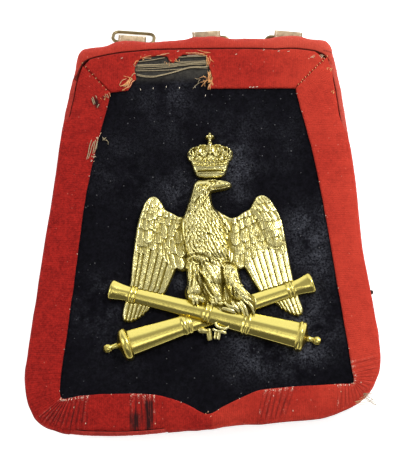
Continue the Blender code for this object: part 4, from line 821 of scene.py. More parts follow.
_, rim_ends, inner_ends, _ = border([0, LAST])
lip_line = BAND[4:-4, 2:4] - [0.0, 0.5]
left_mitre = [inner_ends[0] + [0.2, 0] + (rim_ends[0] - inner_ends[0]) * s for s in (0.0, 0.5, 0.97)]
right_mitre = [inner_ends[1] - [0.5, 0] + (rim_ends[1] - inner_ends[1]) * s for s in (0.0, 0.5, 0.97)]
edge_line = np.vstack([left_mitre[:1], TEAR, right_mitre, lip_line[::-1], left_mitre[:0:-1]])
X, Y, keep, used = blank(edge_line, 0.55)
tear_gap, _ = outline_gap(X, Y, TEAR + TEAR[::-1])
rim_gap, _ = outline_gap(X, Y, edge_line)
curl = np.exp(-tear_gap / 2.2) * (0.35 + 0.5 * wander(X, Y, 4, 31))
Z = LACE_TOP + 0.10 * wander(X, Y, 11, 17) + 0.05 * wander(X, Y, 3, 19) + curl - 0.95 * np.exp(-rim_gap / 0.4)
faded = fade_at(np.column_stack([X.ravel(), Y.ravel()])).reshape(X.shape) + 0.6 * np.exp(-tear_gap / 1.3)
top_lace = cast("top_lace", X, Y, keep, used, Z, 21.75, lace_red, "red_lace", ["lace_top"],
                cut=np.column_stack([X[used], 151 - Y[used]]), crease=np.zeros(X.shape),
                fade=np.clip(faded, 0, 1))

# Loose threads of the torn lace: beige warp bundles across the hole, orange frayed ends, and white sewing
# stitches left in the cloth. All are wool or linen thread, 0.3 to 0.6 mm thick.


def fan(sides):
    """Four-sided faces that close a ring with an even number of points, fanned from its first one."""
    return np.array([[0, k, k + 1, k + 2] for k in range(1, sides - 2, 2)])


def strands(paths, radius, sides=6, closed=False, taper=True):
    """Round threads: paths is threads x points x 3; every point gets a ring square to the path, whose radius
    falls to almost nothing at both ends; a closed path has no ends."""
    paths = np.asarray(paths, float)
    count, steps = paths.shape[:2]
    if closed:
        tangent = np.roll(paths, -1, axis=1) - np.roll(paths, 1, axis=1)
    else:
        tangent = np.gradient(paths, axis=1)
    tangent /= np.maximum(np.linalg.norm(tangent, axis=2, keepdims=True), 1e-9)
    side = np.cross(tangent, [0.02, 0.01, 1.0])
    side /= np.linalg.norm(side, axis=2, keepdims=True)
    rise = np.cross(side, tangent)
    size = np.broadcast_to(np.asarray(radius, float), (count, steps)).copy()
    if taper and not closed:
        size[:, 0] *= 0.05
        size[:, -1] *= 0.05
    angle = np.arange(sides) * math.tau / sides
    ring = np.cos(angle)[:, None] * side[:, :, None] + np.sin(angle)[:, None] * rise[:, :, None]
    points = paths[:, :, None] + ring * size[..., None, None]
    first = (np.arange(count) * steps * sides)[:, None, None]
    faces = (quads(steps, sides, wrap_rows=closed, wrap_cols=True) + first).reshape(-1, 4)
    if not closed:
        caps = (fan(sides) + first).reshape(-1, 4)
        faces = np.vstack([faces, caps[:, ::-1], caps + (steps - 1) * sides])
    return points.reshape(-1, 3), faces


def drawn(rows, steps):
    """One thread: a spline through the rows of a small table, read at even steps."""
    rows = np.asarray(rows, float)
    return spline(rows, np.linspace(0, len(rows) - 1, steps))


ACROSS = [
    # x, y at the left end; x, y at the right end; sag in y; height; threads in the bundle
    (-51.5, 145.4, -30.0, 148.6, 0.2, 23.0, 1), (-20.0, 149.0, 5.0, 149.2, 0.2, 23.0, 1),
    (-21.5, 144.9, 5.5, 145.6, 0.4, 22.9, 1), (-53.8, 141.9, 5.2, 143.6, 0.3, 22.9, 3),
    (-54.6, 139.4, -20.0, 141.2, 0.4, 22.5, 1), (-55.0, 137.9, 6.0, 140.6, 0.8, 22.5, 1),
]
rng = np.random.default_rng(41)
bundle = []
THREAD_STEPS, TUFT_STEPS, STITCH_STEPS = 30, 9, 5
share = np.linspace(0, 1, THREAD_STEPS)
for x0, y0, x1, y1, sag, height, count in ACROSS:
    for k in range(count):
        shift = (k - (count - 1) / 2) * 0.9
        x = x0 + (x1 - x0) * share
        hang = np.sin(math.pi * share)
        y = y0 + (y1 - y0) * share - sag * hang + shift + 0.3 * wander(x, y0 + k * 9, 7, 50)
        z = height + 0.25 * (k % 2) + 0.35 * wander(x, y0 * 3 + k * 5, 9, 51) - 0.3 * hang
        bundle.append(np.column_stack([x, y, z]))
SAGGING = [
    # the two that hang lowest across the hole: x, y, z along each
    [(-54.0, 134.5, 22.6), (-48.0, 132.7, 22.8), (-40.0, 132.2, 22.6), (-34.0, 133.3, 22.7),
     (-24.0, 135.5, 22.9), (-12.0, 139.0, 23.0), (-5.0, 139.5, 22.8), (5.0, 138.8, 22.9)],
    [(-54.0, 135.2, 22.8), (-47.0, 133.5, 22.6), (-39.0, 132.9, 22.9), (-32.0, 134.4, 22.6),
     (-24.0, 136.1, 22.6), (-12.0, 139.7, 22.7), (-4.0, 140.4, 23.0), (5.0, 139.9, 22.7)]]
bundle += [drawn(rows, THREAD_STEPS) for rows in SAGGING]
LENGTHWISE = [
    # threads laid bare along the left lace, at the small hole and at the fray: x, y of both ends
    (-89.6, 115.1, -87.7, 109.6), (-88.8, 116.4, -86.8, 110.4), (-86.4, 117.2, -85.2, 115.0),
    (-85.2, 107.0, -83.6, 109.9), (-93.8, 63.7, -89.7, 80.3), (-92.6, 64.1, -87.7, 79.0),
    (-89.0, 68.2, -86.5, 80.2), (-87.8, 69.0, -84.1, 82.2), (-86.0, 72.3, -84.9, 78.9)]
for x0, y0, x1, y1 in LENGTHWISE:
    bow = 0.012 * abs(y1 - y0)
    rows = [(x0, y0, 23.1), (x0 * 0.7 + x1 * 0.3 + bow, y0 * 0.7 + y1 * 0.3, 23.9),
            (x0 * 0.3 + x1 * 0.7 - bow, y0 * 0.3 + y1 * 0.7, 23.9), (x1, y1, 23.2)]
    bundle.append(drawn(rows, THREAD_STEPS))
FRAYS = [
    # the thick frayed ends at the left of the tear: x, y along each
    [(-67.2, 125.6), (-65.0, 129.0), (-61.4, 131.0)],
    [(-66.5, 124.4), (-62.9, 125.6), (-59.3, 126.7), (-57.8, 130.6)],
    [(-61.4, 122.9), (-58.5, 124.4), (-57.1, 127.5), (-54.9, 129.4)],
    [(-60.0, 127.5), (-57.1, 129.8), (-58.5, 132.2)],
    [(-64.3, 125.2), (-61.4, 127.5), (-59.3, 129.8), (-58.5, 131.8)],
    [(-60.7, 123.6), (-59.3, 126.0), (-59.6, 129.0)], [(-65.4, 125.4), (-61.4, 124.8), (-58.2, 128.4)],
    [(-62.4, 123.8), (-60.6, 127.6), (-56.4, 130.4)], [(-54.9, 143.0), (-53.5, 145.3), (-51.4, 145.9)],
    [(-57.4, 132.6), (-55.6, 134.8), (-53.8, 135.2)], ]
fray_from = len(bundle)
for rows in FRAYS:
    highs = 23.5 + 0.9 * np.sin(np.linspace(0.3, 3.0, len(rows)))
    bundle.append(drawn(np.column_stack([rows, highs]), THREAD_STEPS))
bundle = np.array(bundle)

TUFTS = [
    # x, y, z; heading, spread in degrees; how many; length; curl; tint from beige 0 to orange 1 to white 2
    (-58.0, 130.0, 23.6, 205, 40, 5, 6.5, 0.8, 1.0), (-60.0, 124.4, 23.5, 185, 30, 4, 6.0, 0.6, 1.2),
    (-54.5, 141.5, 23.2, 150, 50, 4, 3.0, 0.7, 0.5), (-50.0, 147.5, 23.3, 40, 50, 4, 2.5, 0.6, 0.9),
    (5.5, 137.0, 23.4, 272, 14, 8, 9.0, 0.4, 0.8), (6.0, 131.0, 23.4, 268, 20, 8, 8.0, 0.5, 1.0),
    (3.5, 129.5, 23.2, 215, 35, 7, 6.0, 0.7, 0.9), (5.6, 124.5, 23.2, 262, 16, 5, 5.0, 0.4, 1.2),
    (4.5, 148.5, 23.4, 275, 20, 9, 6.0, 0.4, 1.0), (4.5, 150.5, 23.5, 180, 12, 6, 9.0, 0.2, 1.0),
    (-1.0, 129.5, 22.6, 215, 18, 3, 8.5, 0.6, 0.2), (-27.0, 145.0, 23.3, 250, 50, 5, 2.4, 0.6, 1.3),
    (-21.0, 147.0, 23.3, 300, 40, 4, 2.4, 0.6, 1.3), (-47.0, 148.6, 23.4, 6, 8, 3, 8.0, 0.08, 1.5),
    (-37.0, 150.0, 23.4, 4, 8, 2, 8.0, 0.08, 1.5), (-15.0, 150.8, 23.4, 2, 6, 3, 11.0, 0.06, 1.4),
    (-5.0, 151.0, 23.4, 2, 6, 2, 9.0, 0.06, 1.4), (-78.5, 118.4, 23.6, 300, 70, 6, 4.0, 0.9, 0.6),
    (-80.2, 114.5, 23.6, 100, 90, 4, 2.6, 0.9, 0.8), (-84.2, 80.6, 23.5, 100, 60, 5, 2.0, 0.9, 1.7),
    (-88.4, 66.2, 23.5, 30, 60, 5, 2.2, 0.9, 1.5), (-89.8, 61.3, 23.5, 30, 60, 3, 1.6, 0.9, 1.8),
    (-81.5, 80.0, 22.3, 20, 50, 5, 6.0, 0.7, 0.1), (103.5, 137.5, 22.6, 250, 60, 8, 4.0, 0.8, 0.9),
    (105.0, 118.0, 21.8, 260, 50, 4, 2.5, 0.8, 0.9), (91.0, 146.0, 23.5, 190, 40, 6, 3.0, 0.7, 1.5),
    (97.0, 148.5, 23.4, 200, 50, 6, 3.0, 0.6, 1.6), (117.5, -128.0, 20.6, 330, 22, 8, 17.0, 0.5, 0.1),
    (111.0, -133.0, 20.4, 350, 26, 6, 14.0, 0.5, 0.5), (-0.5, -142.5, 22.8, 110, 60, 3, 1.8, 0.6, 1.5), ]
tufts, tints = [], []
for x, y, z, heading, spread, count, length, curl, tint in TUFTS:
    angle = np.radians(heading + rng.normal(0, spread / 2, count))[:, None]
    size = length * rng.uniform(0.5, 1.15, count)[:, None]
    bend = curl * rng.normal(0, 1.0, count)[:, None]
    start = np.array([x, y, z]) + rng.normal(0, [1.1, 1.1, 0.12], (count, 3))
    s = np.linspace(0, 1, TUFT_STEPS)[None]
    turn = angle + bend * s
    step_x = np.cumsum(np.cos(turn), 1) * size / TUFT_STEPS
    step_y = np.cumsum(np.sin(turn), 1) * size / TUFT_STEPS
    hop = rng.uniform(0.1, 0.9, count)[:, None] * np.sin(math.pi * s * 0.9) - 0.25 * s
    tufts.append(np.dstack([start[:, :1] + step_x, start[:, 1:2] + step_y, start[:, 2:] + hop]))
    tints.append(np.repeat(tint + rng.normal(0, 0.12, count), TUFT_STEPS * 6))
tufts = np.vstack(tufts)

loose_thread, tree, shader = finish("loose_thread", Roughness=0.9, Specular_IOR_Level=0.2)
tint = mark(tree, "tint")
fuzz = noise(tree, place(tree), 900.0, 2.0)
beige = mix(tree, fuzz, (0.24, 0.19, 0.11, 1), (0.60, 0.50, 0.32, 1))
orange = mix(tree, fuzz, (0.72, 0.20, 0.06, 1), (0.95, 0.62, 0.26, 1))
colour = mix(tree, ramp(tree, tint, 0.2, 1.0), beige, orange)
colour = mix(tree, ramp(tree, tint, 1.2, 2.0), colour, (0.82, 0.74, 0.62, 1))
relief = noise(tree, place(tree), 2600.0, 1.0)
fill(shader, {"Base Color": colour, "Normal": bumped(tree, relief, 0.0002, 0.5)})

bundle_points, bundle_faces = strands(bundle, 0.30)
tuft_points, tuft_faces = strands(tufts, 0.20)
number = np.arange(len(bundle))
bundle_tint = np.where(number < fray_from, 0.16, 1.0 + 0.5 * np.sin(number * 2.2))
threads = make("torn_threads", np.vstack([bundle_points, tuft_points]),
               np.vstack([bundle_faces, tuft_faces + len(bundle_points)]), loose_thread, "red_lace",
               tint=np.concatenate([np.repeat(bundle_tint, THREAD_STEPS * 6), np.concatenate(tints)]))

# Sewing: short visible stitches where the lace is gone, along the right mitre, and through the gathers.
# Each is a short piece of white or orange thread, bowed up a little: x, y, z; heading; length; tint.
rows = [(-50.3, 122.3), (-40.0, 123.0), (-29.5, 124.0), (-18.8, 123.0), (-6.2, 123.5), (2.0, 116.0)]
STITCHES = [(x, y, 21.6, 80, 1.6, 1.9) for x, y in rows]
rows = [(-65, 148.5), (-19.5, 153.5), (27.5, 150), (38, 121.7), (40.5, 121.6), (43.5, 121.9), (62, 152.0),
        (70, 151.6), (50, 153.2)]
STITCHES += [(x, y, 23.6, 20, 2.0, 1.8) for x, y in rows]
mitre_x, mitre_y = np.linspace(77, 101, 13), np.linspace(123.5, 147, 13)
STITCHES += [(x + 0.4 * math.sin(k * 2.1), y, 23.5, 110, 1.5, 0.9 + 0.5 * (k % 2))
             for k, (x, y) in enumerate(zip(mitre_x, mitre_y))]
STITCHES += [(x, y, 23.45, 40, 1.4, 0.6) for x, y in zip(np.linspace(-78, -97, 8), np.linspace(122, 145, 8))]
seam_at = np.array([14.7, 15.0, 15.3, 15.6, 15.9, 16.2, 16.6, 17.0, 17.4, 19.1, 19.4, 19.65, 20.05, 26.2,
                    26.5, 26.8, 27.2, 28.9, 29.1, 29.4, 29.8, 30.6, 31.4, 32.3])
_, seam_rim, seam_in, _ = border(seam_at)
for k, (a, b) in enumerate(zip(seam_in, seam_rim)):
    heading = math.degrees(math.atan2(b[1] - a[1], b[0] - a[0]))
    for s in [0.07] if k % 2 else [0.07, 0.55 + 0.3 * math.sin(k * 1.7)]:
        x, y = a + (b - a) * s
        STITCHES.append((x, y, 23.9 - 3.0 * s * s, heading, 1.3, 1.6 + 0.2 * (k % 3)))
edge_at = np.linspace(2.0, 43.0, 24) + 0.4 * np.sin(np.arange(24) * 2.3)
_, edge_rim, edge_in, _ = border(edge_at)
edge_way = np.degrees(np.arctan2((edge_rim - edge_in)[:, 1], (edge_rim - edge_in)[:, 0]))
STITCHES += [(x, y, 22.8, a, 0.9, 1.7) for (x, y), a in zip(edge_in + (edge_rim - edge_in) * 0.012, edge_way)]
stitches = np.array(STITCHES)
s = np.linspace(-0.5, 0.5, STITCH_STEPS)[None]
heading = np.radians(stitches[:, 3:4])
paths = np.dstack([stitches[:, :1] + np.cos(heading) * s * stitches[:, 4:5],
                   stitches[:, 1:2] + np.sin(heading) * s * stitches[:, 4:5],
                   stitches[:, 2:3] + 0.22 * np.cos(math.pi * s) * np.ones_like(heading)])
points, faces = strands(paths, 0.26)
make("stitches", points, faces, loose_thread, "red_lace", tint=np.repeat(stitches[:, 5], STITCH_STEPS * 6))

# Edge bead: a strip of the same red cloth over a cord, whipped to the rim outside the lace. Its section,
# share of the width by height, is swept round the sides and the bottom and puckered by the sewing.
at = np.linspace(1.05, 43.75, 720)
outer, rim, inner, width = border(at)
out_way = (outer - inner) / np.linalg.norm(outer - inner, axis=1, keepdims=True)
root = outer - out_way * width
BEAD_SIDES = 26
shape = spline([(0.0, 13.8), (0.3, 13.75), (0.6, 14.0), (0.88, 15.1), (1.0, 17.0), (0.9, 18.7),
                (0.62, 19.65), (0.3, 20.0), (0.0, 19.7)], np.linspace(0, 8, BEAD_SIDES))
run = along_edge(outer)
pucker = 0.06 * np.sin(run / 3.1 * math.tau) + 0.16 * wander(run, 0, 6, 61) + 0.12 * wander(run, 0, 2.4, 62)
S, R = np.meshgrid(np.arange(BEAD_SIDES), np.arange(len(at)), indexing="ij")
share, high = shape[:, 0][S], shape[:, 1][S]
swell = pucker[R] * np.sin(math.pi * np.clip(share, 0, 1) * 0.5)
plan = root[R] + out_way[R] * (width[R, 0] * np.clip(share, 0, 1) + swell * (share > 0.02))[..., None]
z = high + (3.0 - rim_drop(at))[R] + 0.10 * wander(run[R], high * 2, 5, 63)
points = np.dstack([plan, z]).transpose(1, 0, 2).reshape(-1, 3)
caps = fan(BEAD_SIDES)
last_ring = (len(at) - 1) * BEAD_SIDES
faces = np.vstack([quads(len(at), BEAD_SIDES, wrap_cols=True), caps[:, ::-1], caps + last_ring])
bead_red = red_wool("bead_red", (0.24, 0.012, 0.010, 1), (0.46, 0.034, 0.024, 1), (0.60, 0.095, 0.065, 1))
# crease: a painted shade line along the bead's root, where it meets the lace
bead = make("edge_bead", points, faces, bead_red, "red_cloth", ["edge_piping"],
            uv=np.column_stack([np.repeat(run, BEAD_SIDES), np.tile(np.arange(BEAD_SIDES) * 0.5, len(at))]),
            crease=((shape[:, 0] < 0.06) * (0.45 + 0.5 * wander(run, 0, 5, 64))[:, None]).ravel(),
            fade=np.clip(fade_at(points) + 0.12, 0, 1))

# Top band: red cloth padded and wrapped over the rolled top edge, from a lip on the front to one behind. It
# follows the nose and the lip given in BAND, hollow inside, and is gathered a little along the front.
rows = spline(BAND, np.linspace(0, len(BAND) - 1, 430))
nose, lip, tongue = rows[:, 0:2], rows[:, 2:4], np.maximum(rows[:, 4:5], 0)
reach = np.linalg.norm(nose - lip, axis=1)
out_way = (nose - lip) / reach[:, None]
start = lip + out_way * 0.6
run = along_edge(nose)
turns = np.radians(np.linspace(90, -90, 34))
swell = 0.28 * wander(run, 6 * turns[:, None], 13, 71) + 0.14 * wander(run, 6 * turns[:, None], 3.5, 72)
swell = swell + 0.10 * np.sin(run / 2.7 * math.tau) * np.exp(-((turns[:, None] - 1.3) / 0.5)**2)
outer_arc = rolled(start, out_way, turns, reach - 0.6 + swell, 8.2 + 0.6 * swell)
inner_arc = rolled(start, out_way, np.radians(np.linspace(-90, 90, 15)), reach - 2.3, 5.3)


def edge_row(plan, height):
    """One row of the section: a line in plan at a height."""
    return np.column_stack([plan, np.broadcast_to(height, len(plan))])[None]


tail = start - out_way * tongue
tail_out, tail_in = edge_row(tail, 6.8), edge_row(tail, 9.7)
front_out, front_in = edge_row(lip, 22.6 + 0.15 * wander(run, 0, 4, 73)), edge_row(lip, 20.6)
section = np.concatenate([front_out, outer_arc, tail_out, tail_in, inner_arc, front_in])
around = len(section)
points = section.transpose(1, 0, 2).reshape(-1, 3)
faces = quads(len(run), around, wrap_cols=True)
half = around // 2
caps = np.array([[k, k + 1, around - 2 - k, around - 1 - k] for k in range(half - 1)])
faces = np.vstack([faces, caps, caps[:, ::-1] + (len(run) - 1) * around])
line_part = np.concatenate([[0.0], np.linspace(0.03, 0.75, 34), [0.8, 0.85], np.linspace(0.86, 0.97, 15),
                            [1.0]])
shade = np.tile(np.where(line_part < 0.02, 0.85, 0.0), len(run))
seam_gap, _ = outline_gap(points[:, 0], points[:, 1], [(98.7, 152.1), (106.5, 150.4)])
shade = np.maximum(shade, 0.7 * np.exp(-(seam_gap / 0.45)**2))
band_red = red_wool("band_red", (0.33, 0.020, 0.014, 1), (0.52, 0.042, 0.024, 1), (0.60, 0.082, 0.048, 1))
corner_worn = 0.9 * np.exp(-((points[:, 0] - 103) / 6)**2 - ((points[:, 1] - 160) / 6)**2)
band = make("top_band_cloth", points, faces, band_red, "red_cloth", ["top_band"],
            uv=np.column_stack([np.repeat(run, around), np.tile(line_part * 30, len(run))]),
            crease=shade, fade=np.clip(fade_at(points) * 0.8 + corner_worn, 0, 1))

# Ring loops: buff leather straps folded round each ring's bar and sewn flat between flap and band. The rings
# are 2.8 mm brass wire bent to rounded oblongs, brown with age; they swing in the loops.
LOOPS = [
    # pivot x, y; turn in plan; the ring's resting angle and its shift to the side
    ("left", -57.5, 167.8, -5.5, -27.3, 0.8), ("middle", 3.8, 170.5, 2.5, -152.7, 1.1),
    ("right", 70.7, 169.2, -6.5, -152.7, -1.2)]
STRAP_HALF, PIVOT_HEIGHT = 11.5, 7.0
# the ring's length and half width to the wire's middle line, its corners' radius and the wire's
RING_BAR, RING_HALF, RING_BEND, WIRE = 12.0, 18.25 - 1.4, 4.5, 1.4
FOLD = [(-19.0, -1.35), (-10.0, -1.35), (-5.6, -1.25), (-3.5, -0.3), (-2.6, 1.3), (-1.2, 2.55), (1.0, 2.95),
        (3.5, 2.55), (4.6, 1.4), (4.95, 0.0), (4.6, -1.4), (3.5, -2.55), (0.6, -2.9), (-4.0, -2.92),
        (-10.0, -2.92), (-19.0, -2.92)]

buff_leather, tree, shader = finish("buff_leather", Roughness=0.8, Specular_IOR_Level=0.25)
grained = use(tree, leather_grain, {"Place": place(tree), "Pebble": 900.0}).outputs
sewn = use(tree, stitch_row, {"Cut": cut_map(tree), "Off": 1.9, "Pitch": 2.6, "Thick": 0.7}).outputs
stain = noise(tree, place(tree), 190.0, 4.0, 0.6)
colour = mix(tree, ramp(tree, stain, 0.3, 0.7), (0.32, 0.235, 0.135, 1), (0.64, 0.50, 0.32, 1))
colour = mix(tree, product(tree, grained["Wear"], 0.5), colour, (0.20, 0.15, 0.10, 1))
colour = mix(tree, mark(tree, "edge"), colour, (0.17, 0.12, 0.08, 1))
colour = mix(tree, sewn["Thread"], colour, (0.70, 0.62, 0.48, 1))
seam = math_node(tree, "SUBTRACT", sewn["Thread"], sewn["Groove"])
relief = added(tree, product(tree, grained["Height"], 0.3), seam)
fill(shader, {"Base Color": colour, "Normal": bumped(tree, relief, 0.0002, 0.6)})

# brass: bright where it is rubbed or a highlight is painted, browner and duller in the hollows that the
# relief marks, where patina and painted shade are laid
patina_and_shade_tones, given, result = group("brass_patina_and_shade",
                              {"Place": "v", "Patina and shade": "f", "Bright": "c", "Body": "c", "Dark": "c"},
                            {"Color": "c", "Rough": "f"})
cloud = noise(patina_and_shade_tones, given["Place"], 70.0, 4.0, 0.65)
spot = noise(patina_and_shade_tones, given["Place"], 600.0, 3.0, 0.6)
spotted = product(patina_and_shade_tones, math_node(patina_and_shade_tones, "SUBTRACT", spot, 0.5), 0.16)
clouded = product(patina_and_shade_tones, math_node(patina_and_shade_tones, "SUBTRACT", cloud, 0.5), 0.5)
deep = ramp(patina_and_shade_tones, added(patina_and_shade_tones, given["Patina and shade"], spotted), 0.0, 0.42)
high = ramp(patina_and_shade_tones, math_node(patina_and_shade_tones, "SUBTRACT", clouded, given["Patina and shade"]), 0.0, 0.35)
tone = mix(patina_and_shade_tones, high, given["Body"], given["Bright"])
fill(result, {"Color": mix(patina_and_shade_tones, deep, tone, given["Dark"]),
              "Rough": added(patina_and_shade_tones, deep, product(patina_and_shade_tones, cloud, 0.25), clamp=True)})


def brass(name, bright, body, dark, smooth_rough, dull_rough, scratch, chased=False):
    """Brass in three tones, its polish broken by fine scratches, or by chased lines along each feather."""
    made, tree, shader = finish(name, Metallic=1.0)
    hollow = mark(tree, "hollow")
    relief = noise(tree, place(tree), scratch, 3.0, 0.6)
    if chased:
        back_turned = node(tree, "ShaderNodeVectorRotate", {"Vector": place(tree),
                                                            "Angle": product(tree, mark(tree, "lay"), -1.0)},
                           rotation_type="Z_AXIS").outputs[0]
        lines = node(tree, "ShaderNodeVectorMath", {0: back_turned, 1: (150.0, 640.0, 300.0)},
                     operation="MULTIPLY")
        streak = noise(tree, lines.outputs[0], 1.0, 2.0, 0.6)
        hollow = added(tree, hollow, ramp(tree, streak, 0.36, 0.60, 0.10, -0.06))
        relief = added(tree, product(tree, relief, 0.5), product(tree, streak, 0.9))
    toned = use(tree, patina_and_shade_tones, {"Place": place(tree), "Patina and shade": hollow, "Bright": bright, "Body": body,
                               "Dark": dark}).outputs
    deep, strength = (0.00025, 0.7) if chased else (0.0001, 0.35)
    fill(shader, {"Base Color": toned["Color"], "Normal": bumped(tree, relief, deep, strength),
                  "Roughness": ramp(tree, toned["Rough"], 0.0, 1.0, smooth_rough, dull_rough)})
    return made


dull_brass = brass("dull_brass", (0.44, 0.36, 0.19, 1), (0.26, 0.20, 0.10, 1), (0.07, 0.05, 0.03, 1),
                   0.30, 0.55, 900.0)


def turned(points, x, y, degrees):
    """Points about the pivot turned in plan and set at its place."""
    a = math.radians(degrees)
    spin = np.array([[math.cos(a), math.sin(a), 0], [-math.sin(a), math.cos(a), 0], [0, 0, 1]])
    return points @ spin + [x, y, PIVOT_HEIGHT]


def evened(outline, count):
    """Closed outline read at even steps of its length: the points and how far along each one is."""
    loop = np.vstack([outline, outline[:1]])
    far = along_edge(loop)
    even = np.linspace(0, far[-1], count + 1)[:-1]
    return np.column_stack([np.interp(even, far, loop[:, 0]), np.interp(even, far, loop[:, 1])]), even


line = spline(FOLD, np.linspace(0, len(FOLD) - 1, 90))
way = np.gradient(line, axis=0)
way /= np.linalg.norm(way, axis=1, keepdims=True)
square = np.column_stack([-way[:, 1], way[:, 0]])
over = np.concatenate([[-1, -0.985], np.linspace(-0.95, 0.95, 13), [0.985, 1]])
thick = 0.78 - 0.42 * (np.abs(over) > 0.999)
run = along_edge(line)
strap_cut = np.column_stack([np.repeat(run, len(over)), np.tile((1 - np.abs(over)) * STRAP_HALF, len(run))])
strap_edge = np.tile(np.where(np.abs(over) > 0.98, 1.0, 0.0), len(run))
quarter = np.linspace(0, math.pi / 2, 10)
bend = RING_BEND * np.column_stack([np.cos(quarter), np.sin(quarter)])
oblong = []
for k, (x, y) in enumerate(((1, 1), (-1, 1), (-1, 0), (1, 0))):
    oblong.append([x * (RING_HALF - RING_BEND), RING_BEND + y * (RING_BAR - 2 * RING_BEND)] + bend)
    bend = bend @ [[0, 1], [-1, 0]]
oblong, along = evened(np.vstack(oblong), 96)
for side, x, y, yaw, rest, shift in LOOPS:
    half = STRAP_HALF + 0.25 * wander(np.arange(len(line)) * 0.7, x, 6, 81)
    sheets = [np.dstack([half[:, None] * over, line[:, None] + square[:, None] * (sign * thick)[:, None]])
              for sign in (1, -1)]
    points, faces = walled(sheets[0], sheets[1])
    make("strap_loop_" + side, turned(points, x, y, yaw), faces, buff_leather, "buff_leather",
         ["loop_" + side], uv=np.tile(strap_cut, (2, 1)), edge=np.tile(strap_edge, 2))
    a = math.radians(rest)
    path = np.column_stack([oblong[:, 0] + shift, oblong[:, 1] * math.cos(a), oblong[:, 1] * math.sin(a)])
    worn_wire = WIRE * (1 - 0.05 * (0.5 + 0.5 * wander(along, x, 5, 82)))
    points, faces = strands(turned(path, x, y, yaw)[None], worn_wire[None], sides=14, closed=True)
    make("wire_ring_" + side, points, faces, dull_brass, "dull_brass", ["ring_" + side], body="ring_" + side,
         hollow=np.repeat(0.10 + 0.16 * wander(along, x, 7, 83), 14))

# Badge, the bird: a stamped and chased brass casting, frosted, gilt and worn brown in the hollows, with
# painted shade and highlights laid over its relief. The relief is built up like the chaser's work: rounded
# forms, then feathers laid from the tips up to the head.
LEFT_RIM = [
    (-17.5, 15.0), (-21.0, 15.2), (-25.5, 18.0), (-31.0, 20.8), (-34.0, 26.5), (-37.0, 30.8), (-40.5, 32.3),
    (-44.0, 31.5), (-48.3, 26.5), (-51.5, 17.5), (-54.3, 7.0), (-56.0, -5.0), (-57.8, -18.0), (-59.5, -36.0),
    (-62.0, -47.0), (-65.4, -58.0), (-66.2, -63.5), (-65.3, -67.8)]
LEFT_INNER = [(-46.6, -60.6), (-40.0, -53.0), (-32.0, -45.5), (-27.0, -35.0), (-23.6, -27.3)]
LEFT_LEG = [(-21.0, -28.6), (-18.0, -29.4), (-15.6, -28.2), (-15.2, -40.0), (-17.3, -44.5), (-17.0, -49.8)]
FEET = [
    (-12.5, -54.2), (-10.8, -57.2), (-7.4, -57.6), (-6.2, -55.2), (-1.8, -55.4), (2.4, -57.0), (7.2, -58.4),
    (9.6, -60.2), (10.4, -62.6), (14.2, -62.7), (18.8, -64.2), (20.8, -65.5), (22.8, -63.6), (27.4, -64.4),
    (30.0, -69.0), (32.3, -70.2), (33.2, -66.0), (34.6, -64.6), (36.8, -66.5), (37.8, -62.6), (38.6, -56.0)]
RIGHT_LEG = [(37.4, -51.6), (33.0, -47.2), (29.3, -43.3), (27.2, -38.5), (26.2, -33.5), (24.8, -29.2),
             (27.3, -28.5)]
RIGHT_INNER = [(29.6, -27.2), (31.4, -29.5), (36.0, -38.5), (41.4, -47.0), (48.0, -52.5), (54.6, -57.0)]
RIGHT_RIM = [
    (74.6, -64.4), (75.0, -61.0), (73.0, -55.0), (70.3, -46.0), (68.0, -37.5), (66.0, -26.0), (64.0, -12.0),
    (62.3, 0.0), (60.5, 10.0), (57.3, 18.5), (53.0, 26.5), (48.2, 31.1), (44.5, 31.7), (40.8, 30.6),
    (38.0, 26.0), (35.0, 20.3), (30.0, 17.8), (24.5, 14.0), (19.6, 13.5)]
HEAD = [
    (13.0, 17.6), (7.2, 21.3), (5.2, 26.5), (4.7, 33.9), (10.0, 35.4), (15.4, 36.1), (19.4, 37.4),
    (21.6, 39.0), (20.8, 41.4), (18.2, 43.3), (13.4, 44.5), (9.0, 45.4), (-2.0, 45.2), (-5.6, 44.8),
    (-7.9, 43.0), (-9.2, 40.0), (-10.4, 34.5), (-13.0, 27.0), (-15.8, 18.5)]
# Flight feathers: the groove beside each, as root x, y; middle x, y; tip x, y
LEFT_GROOVES = np.array([
    (-52.5, -15.0, -56.3, -38.0, -63.2, -67.2), (-49.0, -15.0, -53.0, -38.0, -60.4, -68.2),
    (-44.0, -16.0, -48.8, -39.0, -57.4, -67.4), (-38.5, -18.0, -44.2, -40.0, -54.2, -65.8),
    (-34.5, -21.0, -40.2, -42.0, -51.0, -63.8), (-31.0, -23.5, -36.8, -43.0, -48.6, -61.8)])
RIGHT_GROOVES = np.array([
    (37.0, -22.0, 44.6, -45.0, 56.8, -58.6), (40.5, -17.0, 48.0, -43.8, 59.4, -60.8),
    (44.5, -15.0, 51.8, -42.5, 62.6, -62.6), (49.0, -13.0, 55.6, -41.0, 66.0, -64.4),
    (54.5, -14.5, 59.8, -39.5, 69.4, -65.6), (59.5, -15.0, 64.0, -38.0, 72.4, -65.8)])
FORMS = [
    # x, y, radius at each end; height over the badge's back
    (-3.0, 8.0, 17.0, 1.0, -12.0, 17.5, 10.8), (2.0, -12.0, 16.5, 6.0, -34.0, 10.0, 8.6),
    (-4.0, 16.0, 12.0, -3.0, 34.0, 8.2, 9.0), (-3.0, 37.5, 8.0, 5.0, 39.5, 6.2, 6.8),
    (7.0, 40.2, 5.2, 19.0, 40.0, 3.4, 5.6), (-10.0, -27.0, 7.5, -10.0, -45.0, 7.0, 8.6),
    (-12.0, -51.0, 4.5, -4.0, -53.0, 4.0, 8.8), (3.0, -34.0, 8.0, 8.0, -53.0, 7.0, 6.6),
    (18.5, -31.0, 7.6, 23.0, -46.0, 7.0, 9.0), (24.0, -46.0, 8.0, 33.0, -56.0, 6.0, 9.0),
    (-41.0, 22.0, 12.0, -49.0, -2.0, 10.0, 4.6), (45.0, 21.0, 12.0, 55.0, -4.0, 10.0, 4.6),
]
